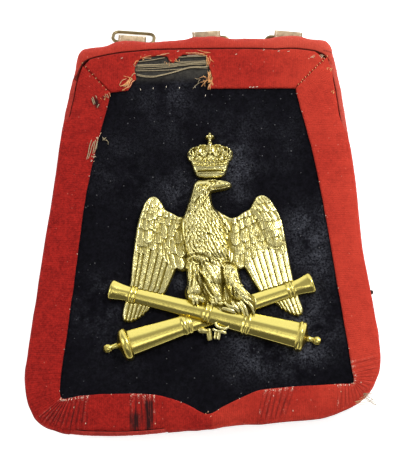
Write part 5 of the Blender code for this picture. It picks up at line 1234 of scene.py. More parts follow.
# muzzle x, y; breech x, y
FRONT_BARREL, REAR_BARREL = (-75.6, -42.5, 75.8, -83.8), (82.8, -40.1, -67.0, -87.8)
FRONT_PROFILE = np.array([
    # share of the length, radius
    (0.000, 6.6), (0.004, 7.1), (0.012, 7.3), (0.024, 7.0), (0.055, 6.1), (0.095, 5.5), (0.100, 5.6),
    (0.104, 6.3), (0.108, 6.5), (0.112, 6.3), (0.115, 5.9), (0.119, 5.9), (0.122, 6.3), (0.126, 6.5),
    (0.131, 6.3), (0.136, 5.4), (0.310, 6.0), (0.480, 6.8), (0.484, 7.2), (0.489, 7.7), (0.494, 7.6),
    (0.498, 7.1), (0.503, 7.1), (0.507, 7.6), (0.512, 7.8), (0.517, 7.5), (0.521, 7.0), (0.680, 8.1),
    (0.684, 8.5), (0.689, 8.95), (0.694, 8.85), (0.698, 8.4), (0.704, 8.4), (0.708, 8.85), (0.713, 9.0),
    (0.718, 8.8), (0.722, 8.3), (0.840, 9.1), (0.955, 9.8), (0.959, 10.3), (0.964, 11.0), (0.971, 11.1),
    (0.976, 10.6), (0.981, 10.6), (0.986, 10.9), (0.992, 10.4), (0.997, 9.0), (1.002, 6.0), (1.008, 3.2),
    (1.016, 2.1), (1.030, 1.7), (1.040, 2.0), (1.048, 2.8), (1.060, 3.2), (1.074, 2.6), (1.080, 1.0)])
FRONT_PROFILE *= [1, 1.10]                                # the front barrel is a tenth stouter than this
REAR_PROFILE = np.array([(0.000, 7.7), (0.005, 8.3), (0.013, 8.4), (0.025, 7.9), (0.060, 6.7), (0.096, 6.0),
                         (0.101, 6.1), (0.105, 6.8), (0.109, 7.0), (0.113, 6.8), (0.117, 6.4), (0.121, 6.4),
                         (0.124, 6.8), (0.128, 7.0), (0.132, 6.7), (0.137, 6.0), (0.310, 6.6), (0.480, 7.0),
                         (0.636, 7.7), (0.641, 8.2), (0.646, 8.7), (0.652, 8.8), (0.657, 8.3), (0.663, 8.3),
                         (0.668, 8.7), (0.674, 8.9), (0.680, 8.6), (0.686, 8.1), (0.840, 9.5), (0.952, 10.5),
                         (0.957, 11.4), (0.963, 12.6), (0.972, 13.1), (0.980, 12.9), (0.988, 12.3),
                         (0.996, 11.2), (1.001, 9.4), (1.007, 6.0), (1.012, 3.4), (1.018, 2.2), (1.036, 1.8),
                         (1.046, 2.1), (1.053, 2.9), (1.067, 3.4), (1.082, 2.8), (1.089, 1.0)])
BADGE_BACK = 21.62


def barrel_rise(t, r):
    """Height of a barrel's section over the badge's back at a distance t from its middle line, for radius r:
    low upright sides, rounded over into a shallower arc."""
    share = np.clip(np.abs(t) / r, 0, 1)
    shoulder = 0.42 * r * np.clip(1 - np.maximum((share - 0.90) / 0.10, 0)**2, 0, 1)**0.5
    return 0.4 + shoulder + 0.45 * r * (1 - share**2)


def barrel_top(x, y, ends, profile):
    """Height of a barrel over the badge's back at plan points, and below the back outside its plan."""
    start, end = np.array(ends[:2]), np.array(ends[2:])
    length = np.linalg.norm(end - start)
    way = (end - start) / length
    s = ((x - start[0]) * way[0] + (y - start[1]) * way[1]) / length
    t = (y - start[1]) * way[0] - (x - start[0]) * way[1]
    r = np.interp(s, profile[:, 0], profile[:, 1], left=0, right=0)
    return np.where(np.abs(t) < r, barrel_rise(t, np.maximum(r, 0.1)), -9.0)


def lobes(tips, low):
    """Feather tips in the outline: round ends between the grooves' tips."""
    out = [tuple(tips[0])]
    for (ax, ay), (bx, by) in zip(tips, tips[1:]):
        out += [((3 * ax + bx) / 4, (3 * ay + by) / 4 - 0.75 * low), ((ax + bx) / 2, (ay + by) / 2 - low),
                ((ax + 3 * bx) / 4, (ay + 3 * by) / 4 - 0.75 * low), (bx, by)]
    return out


def windowed(points, reach):
    """Part of the relief's grid near some points, as slices."""
    points = np.asarray(points, float)
    low = (points.min(0) - reach - [GX[0, 0], GY[0, 0]]) / STEP
    high = (points.max(0) + reach - [GX[0, 0], GY[0, 0]]) / STEP
    i0, j0 = np.maximum(low.astype(int) - 2, 0)
    i1, j1 = np.minimum(high.astype(int) + 3, GX.shape)
    return slice(i0, max(i1, i0)), slice(j0, max(j1, j0))


def feather(base_x, base_y, degrees, length, half, rise=0.55, crown=0.45, blunt=0.5, lines=0.0):
    """Lays one feather over the relief: a leaf shape from its base, lifted at its tip, crowned, with a fine
    raised edge and chased lines along it where they are asked for. The direction that it lies in is kept for
    the sheen, and its painted tone: a chased face darker than its raised edge, which is painted light as a
    highlight, its barbs lighter on their ridges; a plain one lighter on its crest and darker at its sides, as
    painted light and shade."""
    a = math.radians(degrees)
    dx, dy = math.cos(a), math.sin(a)
    cut = windowed([(base_x, base_y), (base_x + dx * length, base_y + dy * length)], half)
    x, y = GX[cut] - base_x, GY[cut] - base_y
    u, v = (x * dx + y * dy) / length, (y * dx - x * dy) / half
    narrow = np.clip((u - (1 - blunt)) / blunt, 0, 1)
    wide = np.sqrt(np.clip(1 - narrow**2, 0, 1)) * (0.72 + 0.28 * np.clip(u * 2.2, 0, 1))
    inside = np.clip(np.minimum((wide - np.abs(v)) * half, (1.001 - u) * length) / (0.9 * STEP) + 0.5, 0, 1)
    inside *= np.clip(u * length / STEP, 0, 1)
    share = np.clip(np.abs(v) / np.maximum(wide, 0.05), 0, 1)
    high = GROUND[cut] + rise * (0.1 + 0.9 * np.clip(u, 0, 1)) + crown * (1 - share**2.2)
    tone = 0.45 * share**2 - 0.12
    if lines:
        brim = np.exp(-((wide - np.abs(v)) * half / 0.5)**2) * np.clip(u * 3 - 1.8, 0, 1)
        barbs = np.cos(v * half / 1.3 * math.tau + 0.5 * np.sin(u * 5.0))
        high += lines * (barbs + 6.0 * brim)
        tone = (0.13 - 0.09 * barbs) * (1 - brim) - 0.12 * brim
    H[cut] = H[cut] * (1 - inside) + high * inside
    LAY[cut] = np.where(inside > 0.5, a, LAY[cut])
    TONE[cut] = TONE[cut] * (1 - inside) + tone * inside


def ridge(path, width, rise, steps=30, end_width=None):
    """Adds a rounded ridge, or cuts a groove where the rise is negative, along a curved path, and paints its
    tone: lighter on a ridge as a highlight, darker in a groove as shade.
    """
    line = drawn(path, steps)
    cut = windowed(line, 3 * max(width, end_width or 0))
    x, y = GX[cut][..., None], GY[cut][..., None]
    a, b = line[:-1], line[1:]
    d = b - a
    t = np.clip(((x - a[:, 0]) * d[:, 0] + (y - a[:, 1]) * d[:, 1]) / (d**2).sum(1), 0, 1)
    gap = np.hypot(x - a[:, 0] - t * d[:, 0], y - a[:, 1] - t * d[:, 1])
    k = gap.argmin(2)
    gap = np.take_along_axis(gap, k[..., None], 2)[..., 0]
    run = (k + np.take_along_axis(t, k[..., None], 2)[..., 0]) / (steps - 1)
    size = width + ((end_width or width) - width) * run
    swell = np.exp(-(gap / size)**2) * np.clip(1.2 - np.abs(2 * run - 1)**6, 0, 1)
    H[cut] += rise * swell
    TONE[cut] -= 0.15 * np.sign(rise) * swell


def dome(gap, radius, rise):
    """Height of a half round knob at a gap from its middle."""
    return rise * np.sqrt(np.maximum(1 - (gap / radius)**2, 0))


def tube(path, steps=24):
    """Raises the relief to a round bar, such as a toe: path rows are x, y, radius, height of its middle."""
    line = drawn(path, steps)
    cut = windowed(line[:, :2], line[:, 2].max() + 1)
    x, y = GX[cut][..., None], GY[cut][..., None]
    gap = np.hypot(x - line[:, 0], y - line[:, 1])
    top = np.where(gap < line[:, 2], line[:, 3] + np.sqrt(np.maximum(line[:, 2]**2 - gap**2, 0)), -9)
    H[cut] = np.maximum(H[cut], top.max(2))


def blurred(field, cells, rounds=3):
    """Field averaged over a square of cells, three times over, by running sums."""
    for _ in range(rounds):
        for axis in (0, 1):
            pad = [(0, 0), (0, 0)]
            pad[axis] = (cells + 1, cells)
            total = np.cumsum(np.pad(field, pad, mode="edge"), axis=axis)
            upper = np.take(total, range(2 * cells + 1, total.shape[axis]), axis)
            field = (upper - np.take(total, range(total.shape[axis] - 2 * cells - 1), axis)) / (2 * cells + 1)
    return field


def edge_round(outline, reach):
    """Share of the height kept near the outline: a quarter round, 0.35 at the edge, 1 at the given reach."""
    near = used & (blurred(used.astype(float), int(reach / STEP) + 1, 1) < 0.9999)
    gap = np.full(GX.shape, 9.0)
    gap[near], _ = outline_gap(GX[near], GY[near], outline)
    return 0.35 + 0.65 * np.sqrt(np.clip(1 - (1 - np.clip(gap / reach, 0, 1))**2, 0, 1))


STEP = 0.34
left_tips, right_tips = [lobes([tuple(row[4:]) for row in rows], 1.1)
                         for rows in (LEFT_GROOVES, RIGHT_GROOVES)]
edge_line = LEFT_RIM + left_tips[1:] + LEFT_INNER + LEFT_LEG + FEET
edge_line += RIGHT_LEG + RIGHT_INNER + right_tips + RIGHT_RIM + HEAD
edge_line, _ = evened(edge_line, 999)
for _ in range(2):
    edge_line = (np.roll(edge_line, 1, axis=0) + 2 * edge_line + np.roll(edge_line, -1, axis=0)) / 4
GX, GY, keep, used = blank(edge_line, STEP)
GROUND = np.full(GX.shape, 2.9)
for x0, y0, r0, x1, y1, r1, rise in FORMS:
    span = np.array([x1 - x0, y1 - y0])
    share = np.clip(((GX - x0) * span[0] + (GY - y0) * span[1]) / (span @ span), 0, 1)
    apart = np.hypot(GX - x0 - share * span[0], GY - y0 - share * span[1])
    radius = r0 + (r1 - r0) * share
    GROUND = np.maximum(GROUND, rise * np.sqrt(np.clip(1 - (apart / radius)**2, 0, 1)))
H = GROUND.copy()
LAY = np.full(GX.shape, -1.57)
TONE = np.zeros(GX.shape)
rng = np.random.default_rng(77)

# flight feathers: long blades side by side, each with a raised shaft between two fine grooves
for grooves, rim_side, inner_side, sign in ((LEFT_GROOVES, LEFT_RIM[10:], LEFT_INNER, 1),
                                            (RIGHT_GROOVES, RIGHT_RIM[:8][::-1], RIGHT_INNER, -1)):
    lines = [np.array([row[0:2] - (row[2:4] - row[0:2]) * 0.3, row[0:2], row[2:4], row[4:6]])
             for row in grooves[::sign]]
    lines = [np.array(rim_side)] + lines + [np.array(inner_side)[::-sign]]
    level = np.linspace(6, -70, 200)
    edges = []
    for line in lines:
        line = line[np.argsort(line[:, 1])]
        edges.append(np.interp(level, line[:, 1], line[:, 0]))
    edges = np.array(edges) * sign
    edges = np.maximum.accumulate(edges + 1e-4 * np.arange(len(edges))[:, None], axis=0)
    zone = (GY < -8) & (sign * GX < -16 if sign > 0 else GX > 26)
    row = np.clip((6 - GY[zone]) / 76 * 199, 0, 198.999)
    low_row = row.astype(int)
    mixed = edges[:, low_row] * (1 - (row - low_row)) + edges[:, low_row + 1] * (row - low_row)
    place_x = GX[zone] * sign
    k = np.clip((place_x[None] > mixed).sum(0) - 1, 0, len(edges) - 2)
    cols = np.arange(len(k))
    wide = np.maximum(mixed[k + 1, cols] - mixed[k, cols], 0.4)
    t = np.clip((place_x - mixed[k, cols]) / wide, 0, 1)
    blade = 1.15 * (1 - np.abs(2 * t - 1)**4.0) + 0.30 * (0.5 - t)
    shaft = np.abs(t - 0.5) * wide
    blade += 0.30 * np.exp(-(shaft / 0.42)**2) - 0.10 * np.exp(-((shaft - 0.95) / 0.32)**2)
    LAY[zone] = -1.76 if sign > 0 else -1.22
    H[zone] = GROUND[zone] - 0.55 + blade * np.clip(wide / 2.2, 0.4, 1.15)
    # painted tone: darker at each blade's grooved edges, and the left wing painted darker than the right, as
    # the light falls from the right
    TONE[zone] = 0.6 * np.abs(2 * t - 1)**6 + (0.12 if sign > 0 else -0.12)

COVERTS = [
    # rows of covert feathers, lowest first: length; half width; headings at the row's ends; tips x, y
    (13, 3.0, -98, -74, [(-52.0, -15.8), (-47.6, -16.0), (-42.3, -12.0), (-36.0, -15.2), (-31.8, -18.6),
                         (-28.4, -23.0), (-23.8, -26.8), (-18.8, -28.2)]),
    (12, 3.4, -98, -78, [(-51.4, -8.6), (-45.6, -6.0), (-37.4, -7.0), (-32.0, -2.4), (-27.2, -10.0),
                         (-22.8, -16.0), (-18.6, -18.0)]),
    (10, 3.0, -100, -80, [(-51.4, 5.6), (-47.2, 3.0), (-42.4, 3.6), (-38.4, 2.0), (-31.6, 0.4),
                          (-25.8, -2.0), (-20.6, -6.0)]),
    (9, 3.0, -104, -84, [(-49.4, 12.6), (-45.2, 11.2), (-40.0, 12.4), (-34.6, 9.6), (-28.4, 7.4),
                         (-22.8, 4.6)]),
    (7, 2.2, -112, -88, [(-47.8, 19.0), (-44.0, 17.4), (-40.0, 18.0), (-36.0, 15.2), (-32.0, 14.2),
                         (-28.0, 13.0), (-24.4, 11.6), (-21.0, 10.4)]),
    (6, 2.3, -116, -92, [(-45.8, 24.6), (-42.6, 22.8), (-38.8, 23.2), (-35.4, 20.6)]),
    (13, 3.0, -74, -100, [(60.8, -17.2), (55.8, -13.4), (51.2, -12.0), (45.2, -15.4), (40.6, -13.6),
                          (36.8, -19.4), (32.0, -25.4), (26.8, -28.6), (22.0, -26.0)]),
    (12, 3.4, -75, -98, [(61.2, -6.0), (55.2, -4.6), (49.4, -4.2), (43.2, -6.4), (36.8, -9.0), (31.0, -12.4),
                         (25.6, -17.4)]),
    (11, 3.3, -70, -96, [(57.4, 3.2), (51.6, 1.6), (46.6, 2.6), (40.8, -1.0), (36.0, -3.2), (30.4, -6.4),
                         (24.0, -10.4)]),
    (9, 2.6, -84, -96, [(38.0, 7.6), (33.4, 6.4), (28.2, 3.4), (23.4, 1.2)]),
    (13, 1.7, -58, -66, [(58.6, 11.8), (55.0, 9.8), (51.4, 8.8), (47.8, 8.4), (44.0, 8.8), (40.8, 10.6)]),
    (7, 1.4, -76, -92, [(37.4, 15.4), (34.4, 14.2), (31.4, 13.0), (28.4, 11.6), (25.4, 10.0), (22.4, 8.4)]),
    (9, 1.3, -54, -60, [(56.2, 18.6), (53.2, 17.6), (50.2, 17.0), (47.2, 16.6), (44.2, 16.8), (41.0, 18.0)]),
    (7, 1.1, -52, -58, [(51.8, 24.8), (49.2, 24.4), (46.6, 23.8), (44.0, 23.6), (41.4, 24.0)]), ]
for length, half, first_way, last_way, tips in COVERTS:
    for k, (x, y) in enumerate(tips):
        heading = first_way + (last_way - first_way) * k / (len(tips) - 1) + rng.normal(0, 3.5)
        a = math.radians(heading)
        x, y = x + rng.normal(0, 0.4), y + rng.normal(0, 0.6)
        feather(x - math.cos(a) * length, y - math.sin(a) * length, heading, length,
                half * rng.uniform(1.0, 1.25), rise=rng.uniform(0.5, 0.9), crown=0.35,
                blunt=min(0.75, 1.5 * half / length), lines=0.07 if half > 2 else 0.03)

# leading edges of the wings: a smooth rounded border
LEADING = [
    [(-34.0, 27.5), (-37.5, 30.6), (-40.5, 31.5), (-44.0, 30.4), (-47.6, 26.0), (-50.6, 17.4), (-53.3, 7.0),
     (-55.0, -5.0), (-56.6, -16.0)],
    [(38.6, 27.0), (41.2, 29.8), (44.5, 30.8), (47.8, 30.2), (52.2, 25.8), (56.2, 18.2), (59.5, 9.8),
     (61.3, 0.0), (62.8, -12.0)]]
for path in LEADING:
    ridge(path, 1.3, 0.85, steps=50)

# body, legs and tail: narrow pointed feathers, laid from the feet upward, turning with the form below
WAYS = np.array([
    # x, y, heading
    (-2, 42, -120), (-3, 34, -116), (3, 26, -80), (-8, 22, -104), (-5, 15, -90), (8, 16, -68), (-13, 0, -86),
    (3, 0, -62), (12, 5, -64), (12, -12, -66), (5, -20, -60), (2, -40, -62), (8, -50, -66), (-8, -24, -70),
    (-11, -30, -96), (-13, -42, -104), (-7, -44, -82), (17, -32, -78), (18, -46, -96), (24, -42, -58),
    (31, -50, -45)])
body_form = [(-16, 17), (-17, 5), (-16.5, -6), (-13, -15), (-15, -22), (-15, -44), (-16, -49), (-8, -53),
             (2, -55), (9, -57), (14, -57), (22, -57), (34, -57), (36, -52), (28, -44), (25, -32), (21, -24),
             (18, -14), (18.5, 5), (15, 14), (7, 20), (4, 28), (3.5, 34), (0, 40), (-5, 43), (-8, 40),
             (-10, 32), (-14, 24)]
ys = np.concatenate([np.arange(-56, -24, 2.3), np.arange(-24, 20, 2.9), np.arange(20, 37, 2.1)])
spots = np.array([(x + (k % 2) * 1.2 + rng.normal(0, 0.3), y + rng.normal(0, 0.5)) for k, y in enumerate(ys)
                  for x in np.arange(-18, 37, 2.4 if y < -24 else 3.0 if y < 20 else 1.8)])
gap_in, _ = outline_gap(spots[:, 0], spots[:, 1], body_form)
cross, spans = crossings(spots[:, 1], np.array(body_form, float))
inner_spots = (((cross > spots[:, :1]) & spans).sum(1) % 2 == 1) & (gap_in > 0.4)
for x, y in spots[inner_spots]:
    weight = 1 / ((WAYS[:, 0] - x)**2 + (WAYS[:, 1] - y)**2 + 6.0)**1.5
    turn = np.radians(WAYS[:, 2])
    heading = math.degrees(math.atan2((weight * np.sin(turn)).sum(), (weight * np.cos(turn)).sum()))
    heading += rng.normal(0, 11)
    leg = y < -24
    neck = y > 20
    length = rng.uniform(9.5, 13.5) if leg else rng.uniform(4.8, 6.5) if neck else rng.uniform(6.0, 10.5)
    half = rng.uniform(0.9, 1.2) if leg else rng.uniform(0.75, 0.95) if neck else rng.uniform(1.4, 2.1)
    a = math.radians(heading)
    feather(x - math.cos(a) * length * 0.7, y - math.sin(a) * length * 0.7, heading, length, half,
            rise=(0.6 if leg else 0.8 if neck else 1.1) * rng.uniform(0.7, 1.4), crown=0.4 if leg else 0.8,
            blunt=0.8)

RIDGES = [
    # path; width; rise. First the bright border of the breast and the tops of the thighs
    ([(-17.2, 14.0), (-18.0, 7.0), (-17.8, -1.0), (-16.2, -9.0), (-12.8, -15.5), (-8.0, -18.6)], 1.7, 1.5),
    ([(-15.0, -21.5), (-12.0, -19.8), (-7.0, -19.8), (-2.0, -22.5), (1.5, -27.0)], 1.5, 1.5),
    ([(12.5, -28.0), (15.0, -26.2), (18.5, -26.6), (22.5, -30.0)], 1.5, 1.4),
    ([(-18.5, -17.0), (-13.5, -17.8), (-7.0, -17.2), (0.0, -19.5), (4.0, -25.0)], 0.7, -1.0),
    ([(11.0, -25.5), (15.0, -23.6), (20.0, -24.6), (25.0, -29.0)], 0.6, -0.9),
    ([(-4.6, -30.0), (1.6, -39.5), (8.6, -51.5)], 1.3, 1.8),
    ([(-7.6, -31.0), (-2.6, -40.5), (3.6, -51.0)], 0.8, 1.3),
    ([(0.6, -27.0), (6.4, -37.0), (11.0, -49.5)], 0.9, 1.2),
    ([(-6.2, -30.0), (-0.6, -40.0), (6.0, -51.5)], 0.45, -1.3),
    ([(-9.4, -32.0), (-5.6, -41.0), (-1.0, -50.0)], 0.6, -1.6),
    ([(11.6, -27.0), (12.8, -40.0), (12.4, -54.0)], 0.8, -1.8),
    ([(18.6, -33.0), (20.6, -40.5), (26.4, -48.5), (34.8, -56.2)], 1.4, 2.0),
    ([(17.0, -34.0), (18.0, -41.0), (19.4, -50.0), (19.0, -56.5)], 0.8, 1.3),
    ([(21.6, -43.5), (22.0, -50.0), (20.6, -57.0)], 0.7, 1.3),
    ([(22.8, -33.5), (26.8, -41.5), (34.5, -50.5)], 0.8, 1.3),
    ([(24.0, -48.5), (28.0, -54.0), (32.0, -58.5)], 0.6, 1.0), ([(20.4, -44.0), (20.8, -52.0)], 0.4, -1.0),
    ([(23.4, -45.5), (28.6, -51.0), (34.4, -54.2)], 0.45, -1.0),
    ([(-12.8, -24.0), (-12.4, -34.0), (-14.0, -46.0)], 0.8, 1.2),
    ([(-9.0, -24.5), (-8.8, -33.0), (-9.6, -45.0)], 0.8, 1.3),
    ([(-11.2, -25.0), (-10.8, -34.0), (-12.0, -46.0)], 0.4, -0.9),
    ([(-7.8, -25.0), (-7.0, -34.0), (-6.6, -46.0)], 0.4, -0.8),
    # neck and head: hackles, cheek, brow, mouth and the two halves of the beak
    ([(2.6, 38.4), (-4.0, 32.4), (-10.4, 25.4)], 2.0, 1.7),
    ([(1.0, 38.5), (-4.5, 32.0), (-9.0, 24.0)], 0.5, 0.8),
    ([(4.4, 33.0), (0.6, 28.0), (-3.5, 21.0)], 0.6, 0.9),
    ([(0.2, 34.6), (-5.0, 28.0), (-8.2, 21.5)], 0.4, -0.8),
    ([(3.4, 30.5), (-0.5, 25.5), (-3.5, 20.0)], 0.4, -0.8),
    ([(-7.4, 42.0), (-9.4, 34.0), (-12.4, 26.0)], 0.7, 0.9),
    ([(2.0, 43.6), (5.5, 43.6), (9.8, 44.6)], 0.55, 1.2),
    ([(3.0, 42.2), (6.0, 42.6), (9.4, 43.4)], 0.4, -1.0),
    ([(8.6, 43.6), (7.8, 40.0), (6.2, 37.2)], 0.4, -0.8),
    ([(6.0, 36.9), (12.0, 37.8), (16.6, 38.7), (20.4, 39.0)], 0.3, -1.3),
    ([(8.0, 43.2), (14.0, 43.2), (18.6, 41.6), (21.0, 39.6)], 0.8, 1.1),
    ([(8.0, 39.0), (13.0, 39.9), (17.6, 40.2)], 0.5, 0.7),
    ([(5.0, 35.6), (10.5, 36.5), (16.5, 37.4)], 0.5, 0.9), ([(10.6, 41.4), (12.2, 41.0)], 0.35, -0.9), ]
for path, width, rise in RIDGES:
    ridge(path, width, rise)
gap_eye = np.hypot(GX - 5.9, GY - 41.0)
H = np.where(gap_eye < 1.5, np.maximum(H - 0.7 * np.exp(-((gap_eye - 1.25) / 0.3)**2), 0), H)
H += dome(gap_eye, 0.95, 0.75)
H += 0.06 * wander(GX, GY, 0.8, 91) + 0.10 * wander(GX, GY, 2.2, 92)
H = H * edge_round(edge_line, 1.5)

# the wings go in under the barrels; the feet stand on them, with round toes and hooked claws
for ends, profile, x_low, x_high in ((FRONT_BARREL, FRONT_PROFILE, -80, -19),
                                     (REAR_BARREL, REAR_PROFILE, 38.5, 90)):
    lid = barrel_top(GX, GY, ends, profile)
    H = np.where((GX > x_low) & (GX < x_high) & (lid > -5), np.minimum(H, np.maximum(lid - 0.35, 0.3)), H)
lid = np.maximum(barrel_top(GX, GY, FRONT_BARREL, FRONT_PROFILE),
                 barrel_top(GX, GY, REAR_BARREL, REAR_PROFILE))
H = np.where((GX > -18) & (GX < 39) & (lid > 0), np.maximum(H, lid + 0.25), H)
TOES = [
    # rows: x, y, radius, height of the middle
    [(-11.0, -50.5, 1.3, 7.2), (-10.4, -53.5, 1.2, 8.0), (-10.2, -56.2, 1.0, 7.6)],
    [(-9.2, -51.0, 1.4, 7.6), (-8.0, -53.6, 1.3, 8.4), (-7.4, -56.6, 1.0, 7.8)],
    [(-7.0, -50.6, 1.2, 7.6), (-5.0, -52.6, 1.2, 8.4), (-3.2, -54.8, 0.9, 7.8)],
    [(9.4, -56.2, 1.0, 7.4), (10.8, -56.6, 1.5, 7.9), (12.2, -56.6, 1.1, 7.6)],
    [(12.4, -60.4, 1.2, 7.6), (16.0, -61.4, 1.5, 8.0), (19.6, -62.6, 1.5, 7.8), (22.0, -64.0, 0.8, 7.2)],
    [(14.0, -56.0, 1.0, 7.8), (16.6, -58.4, 1.2, 8.4), (19.4, -59.8, 1.5, 8.6), (23.0, -60.6, 1.5, 8.4)],
    [(20.0, -56.0, 1.5, 8.0), (21.6, -59.2, 1.7, 8.8), (23.6, -61.6, 1.6, 8.4), (25.0, -63.4, 1.0, 7.6)],
    [(26.5, -56.0, 1.6, 8.2), (29.0, -60.0, 1.5, 8.8), (30.6, -64.0, 1.3, 8.2), (31.9, -69.0, 0.6, 7.4)],
    [(24.0, -57.0, 1.5, 8.2), (26.8, -61.0, 1.4, 8.6), (28.6, -65.0, 1.1, 8.0), (29.6, -68.4, 0.6, 7.4)],
    [(32.0, -56.5, 1.6, 8.0), (34.6, -59.6, 1.4, 8.4), (35.6, -62.6, 1.1, 7.8), (36.6, -65.8, 0.6, 7.0)],
]
for toe in TOES:
    tube(toe)
# patina and painted shade where the relief lies below its surroundings, under feather tips and in broad
# hollows; the feathers' and ridges' painted tone; the breast painted darker as shade and the legs lighter as
# highlights
shadow = blurred(H, 2) - H
broad = blurred(H, 8) - H
breast = np.exp(-((GX + 2) / 14)**2 - ((GY + 2) / 14)**2)
legs = smooth((-22 - GY) / 8) * (np.abs(GX - 10) < 29)
hollow = np.clip(0.06 + TONE + 1.2 * shadow + 0.16 * broad + 0.10 * breast - 0.10 * legs, 0, 1)
frosted = brass("frosted_brass", (0.97, 0.94, 0.69, 1), (0.77, 0.70, 0.31, 1), (0.27, 0.215, 0.04, 1),
                0.23, 0.50, 1500.0, chased=True)
cast("eagle_casting", GX, GY, keep, used, BADGE_BACK + H, BADGE_BACK, frosted, "frosted_brass",
     ["badge_eagle"], hollow=hollow, lay=LAY)

# Badge, the crown: the same kind of casting. A rounded foot ring, a studded circlet, jewels and fleurons
# between the arches, and a small cross on top.
CROWN_HALF = [(4.0, 45.9), (8.6, 46.8), (11.2, 48.4), (12.2, 50.4), (13.3, 53.4), (14.4, 57.0), (15.2, 59.8),
              (17.2, 61.4), (18.2, 64.4), (18.2, 67.4), (17.2, 69.6), (15.2, 71.2), (12.8, 72.4),
              (8.8, 74.0), (4.6, 74.7), (2.4, 73.8), (2.0, 75.2), (1.7, 76.6), (1.6, 78.4), (3.0, 78.8),
              (3.9, 80.2), (3.2, 81.6), (1.6, 82.1), (1.2, 83.8)]
CROWN_X = 4.8                                             # its middle line
right_half = np.array(CROWN_HALF) + [CROWN_X, 0]
edge_line, _ = evened(np.vstack([right_half, (right_half * [-1, 1] + [2 * CROWN_X, 0])[::-1]]), 499)
STEP = 0.27
GX, GY, keep, used = blank(edge_line, STEP)
LAY, TONE = np.full(GX.shape, 1.57), np.zeros(GX.shape)
off = GX - CROWN_X
wide = np.interp(GY, [46, 50.4, 53.4, 59.8, 61.4, 64.4, 67.4, 69.6, 72.4, 74.7],
                 [6, 12.2, 13.3, 15.2, 17.2, 18.2, 18.2, 17.2, 13, 8])
share = np.clip(off / wide, -1, 1)
GROUND = 1.6 + 3.0 * np.sqrt(1 - 0.8 * share**2)
bow = 1 - (off / 13.0)**2
row = GY + 1.6 * bow                                 # heights on the crown run along rows that bow downwards
H = GROUND + 0.7 * (row < 57.2) - 0.5 * (row > 65.0)
foot_slot = np.exp(-((GY - 51.2 - 0.3 * bow) / 0.7)**2) * (np.abs(off) < 10.5)
H += 0.9 * np.exp(-((row - 51.6) / 0.7)**2) - 2.6 * foot_slot
H += 0.7 * np.exp(-((row - 56.4) / 0.5)**2) + 0.7 * np.exp(-((row - 60.2) / 0.5)**2)
STUDS = [(CROWN_X + 13.2 * math.sin(a), 58.3 - 1.6 * math.cos(a)**2, 0.95, 1.1)
         for a in np.linspace(-1.35, 1.35, 15)]
JEWELS = [
    # x, y, radius, rise
    (-9.4, 62.4, 1.3, 1.2), (-6.2, 61.4, 1.2, 1.4), (-3.0, 61.2, 1.3, 1.6), (0.4, 61.0, 1.4, 1.7),
    (3.6, 61.0, 1.1, 1.4), (6.8, 61.2, 1.4, 1.7), (10.0, 61.0, 1.2, 1.4), (13.9, 61.2, 2.0, 2.6),
    (17.4, 61.8, 1.2, 1.4), (20.2, 62.6, 1.2, 1.2)]
for x, y, radius, rise in STUDS + JEWELS:
    gap = np.hypot(GX - x, (GY - y) * 0.85)
    set_in = H - 0.7 * np.exp(-((gap - radius * 1.1) / 0.3)**2)
    H = np.where(gap < radius * 1.4, np.maximum(set_in, GROUND + dome(gap, radius, rise)), H)
ARCHES = [
    # the ribs that bow up to the cross: x, y along each, with a hollow between each two
    [(-9.8, 63.4), (-11.6, 66.6), (-10.0, 70.0), (-6.6, 72.0)],
    [(-5.0, 63.4), (-5.8, 67.4), (-4.2, 71.4), (-0.6, 73.6)],
    [(4.8, 63.4), (4.8, 68.0), (4.8, 71.0), (4.8, 74.4)],
    [(14.2, 63.4), (15.2, 67.4), (13.8, 71.4), (10.2, 73.6)],
    [(19.4, 63.4), (21.2, 66.6), (19.6, 70.0), (16.2, 72.0)]]
for left, right in zip(ARCHES[:-1], ARCHES[1:]):
    ridge((np.array(left) + np.array(right)) / 2, 1.7, -1.4)
for x, way in ((-8.0, 104), (0.0, 96), (9.6, 84), (17.4, 76)):
    for turn in (40, -40, 0):
        feather(x, 63.4, way + turn, 4.4 if turn else 5.6, 1.0, rise=0.9, crown=1.0, blunt=0.6)
for arch in ARCHES:
    ridge(arch, 1.1, 1.5)
    for x, y in drawn(arch, 6)[1:5]:
        gap = np.hypot(GX - x, GY - y)
        H = np.where(gap < 1.0, np.maximum(H, GROUND + 1.3 + dome(gap, 1.0, 0.8)), H)
KNOBS = [
    # on the cross and between the arches: x, y, radius, rise
    (4.8, 76.6, 1.5, 1.4), (4.8, 80.2, 1.3, 1.1), (2.2, 80.2, 1.1, 1.0), (7.4, 80.2, 1.1, 1.0),
    (4.8, 82.5, 1.1, 1.0), (0.9, 66.8, 0.9, 1.0), (9.6, 66.8, 0.9, 1.0), (-6.6, 67.6, 0.9, 1.0),
    (16.6, 67.4, 0.9, 1.0)]
for x, y, radius, rise in KNOBS:
    gap = np.hypot(GX - x, GY - y)
    H = np.where(gap < radius, np.maximum(H, GROUND + dome(gap, radius, rise)), H)
H += 0.10 * wander(GX, GY, 0.9, 93) * (GY > 52) + 0.12 * wander(GX, GY, 1.8, 94) * (GY > 52)
H = H * edge_round(edge_line, 1.3)
# patina and painted shade where the relief lies below what is round it, with the painted tone of the fleurons
# and arches
hollow = np.clip(TONE - 0.08 + 0.75 * (blurred(H, 2) - H) + 0.2 * (blurred(H, 9) - H), 0, 1)
cast("crown_casting", GX, GY, keep, used, BADGE_BACK + H, BADGE_BACK, frosted, "frosted_brass",
     ["badge_crown"], hollow=hollow, lay=LAY)

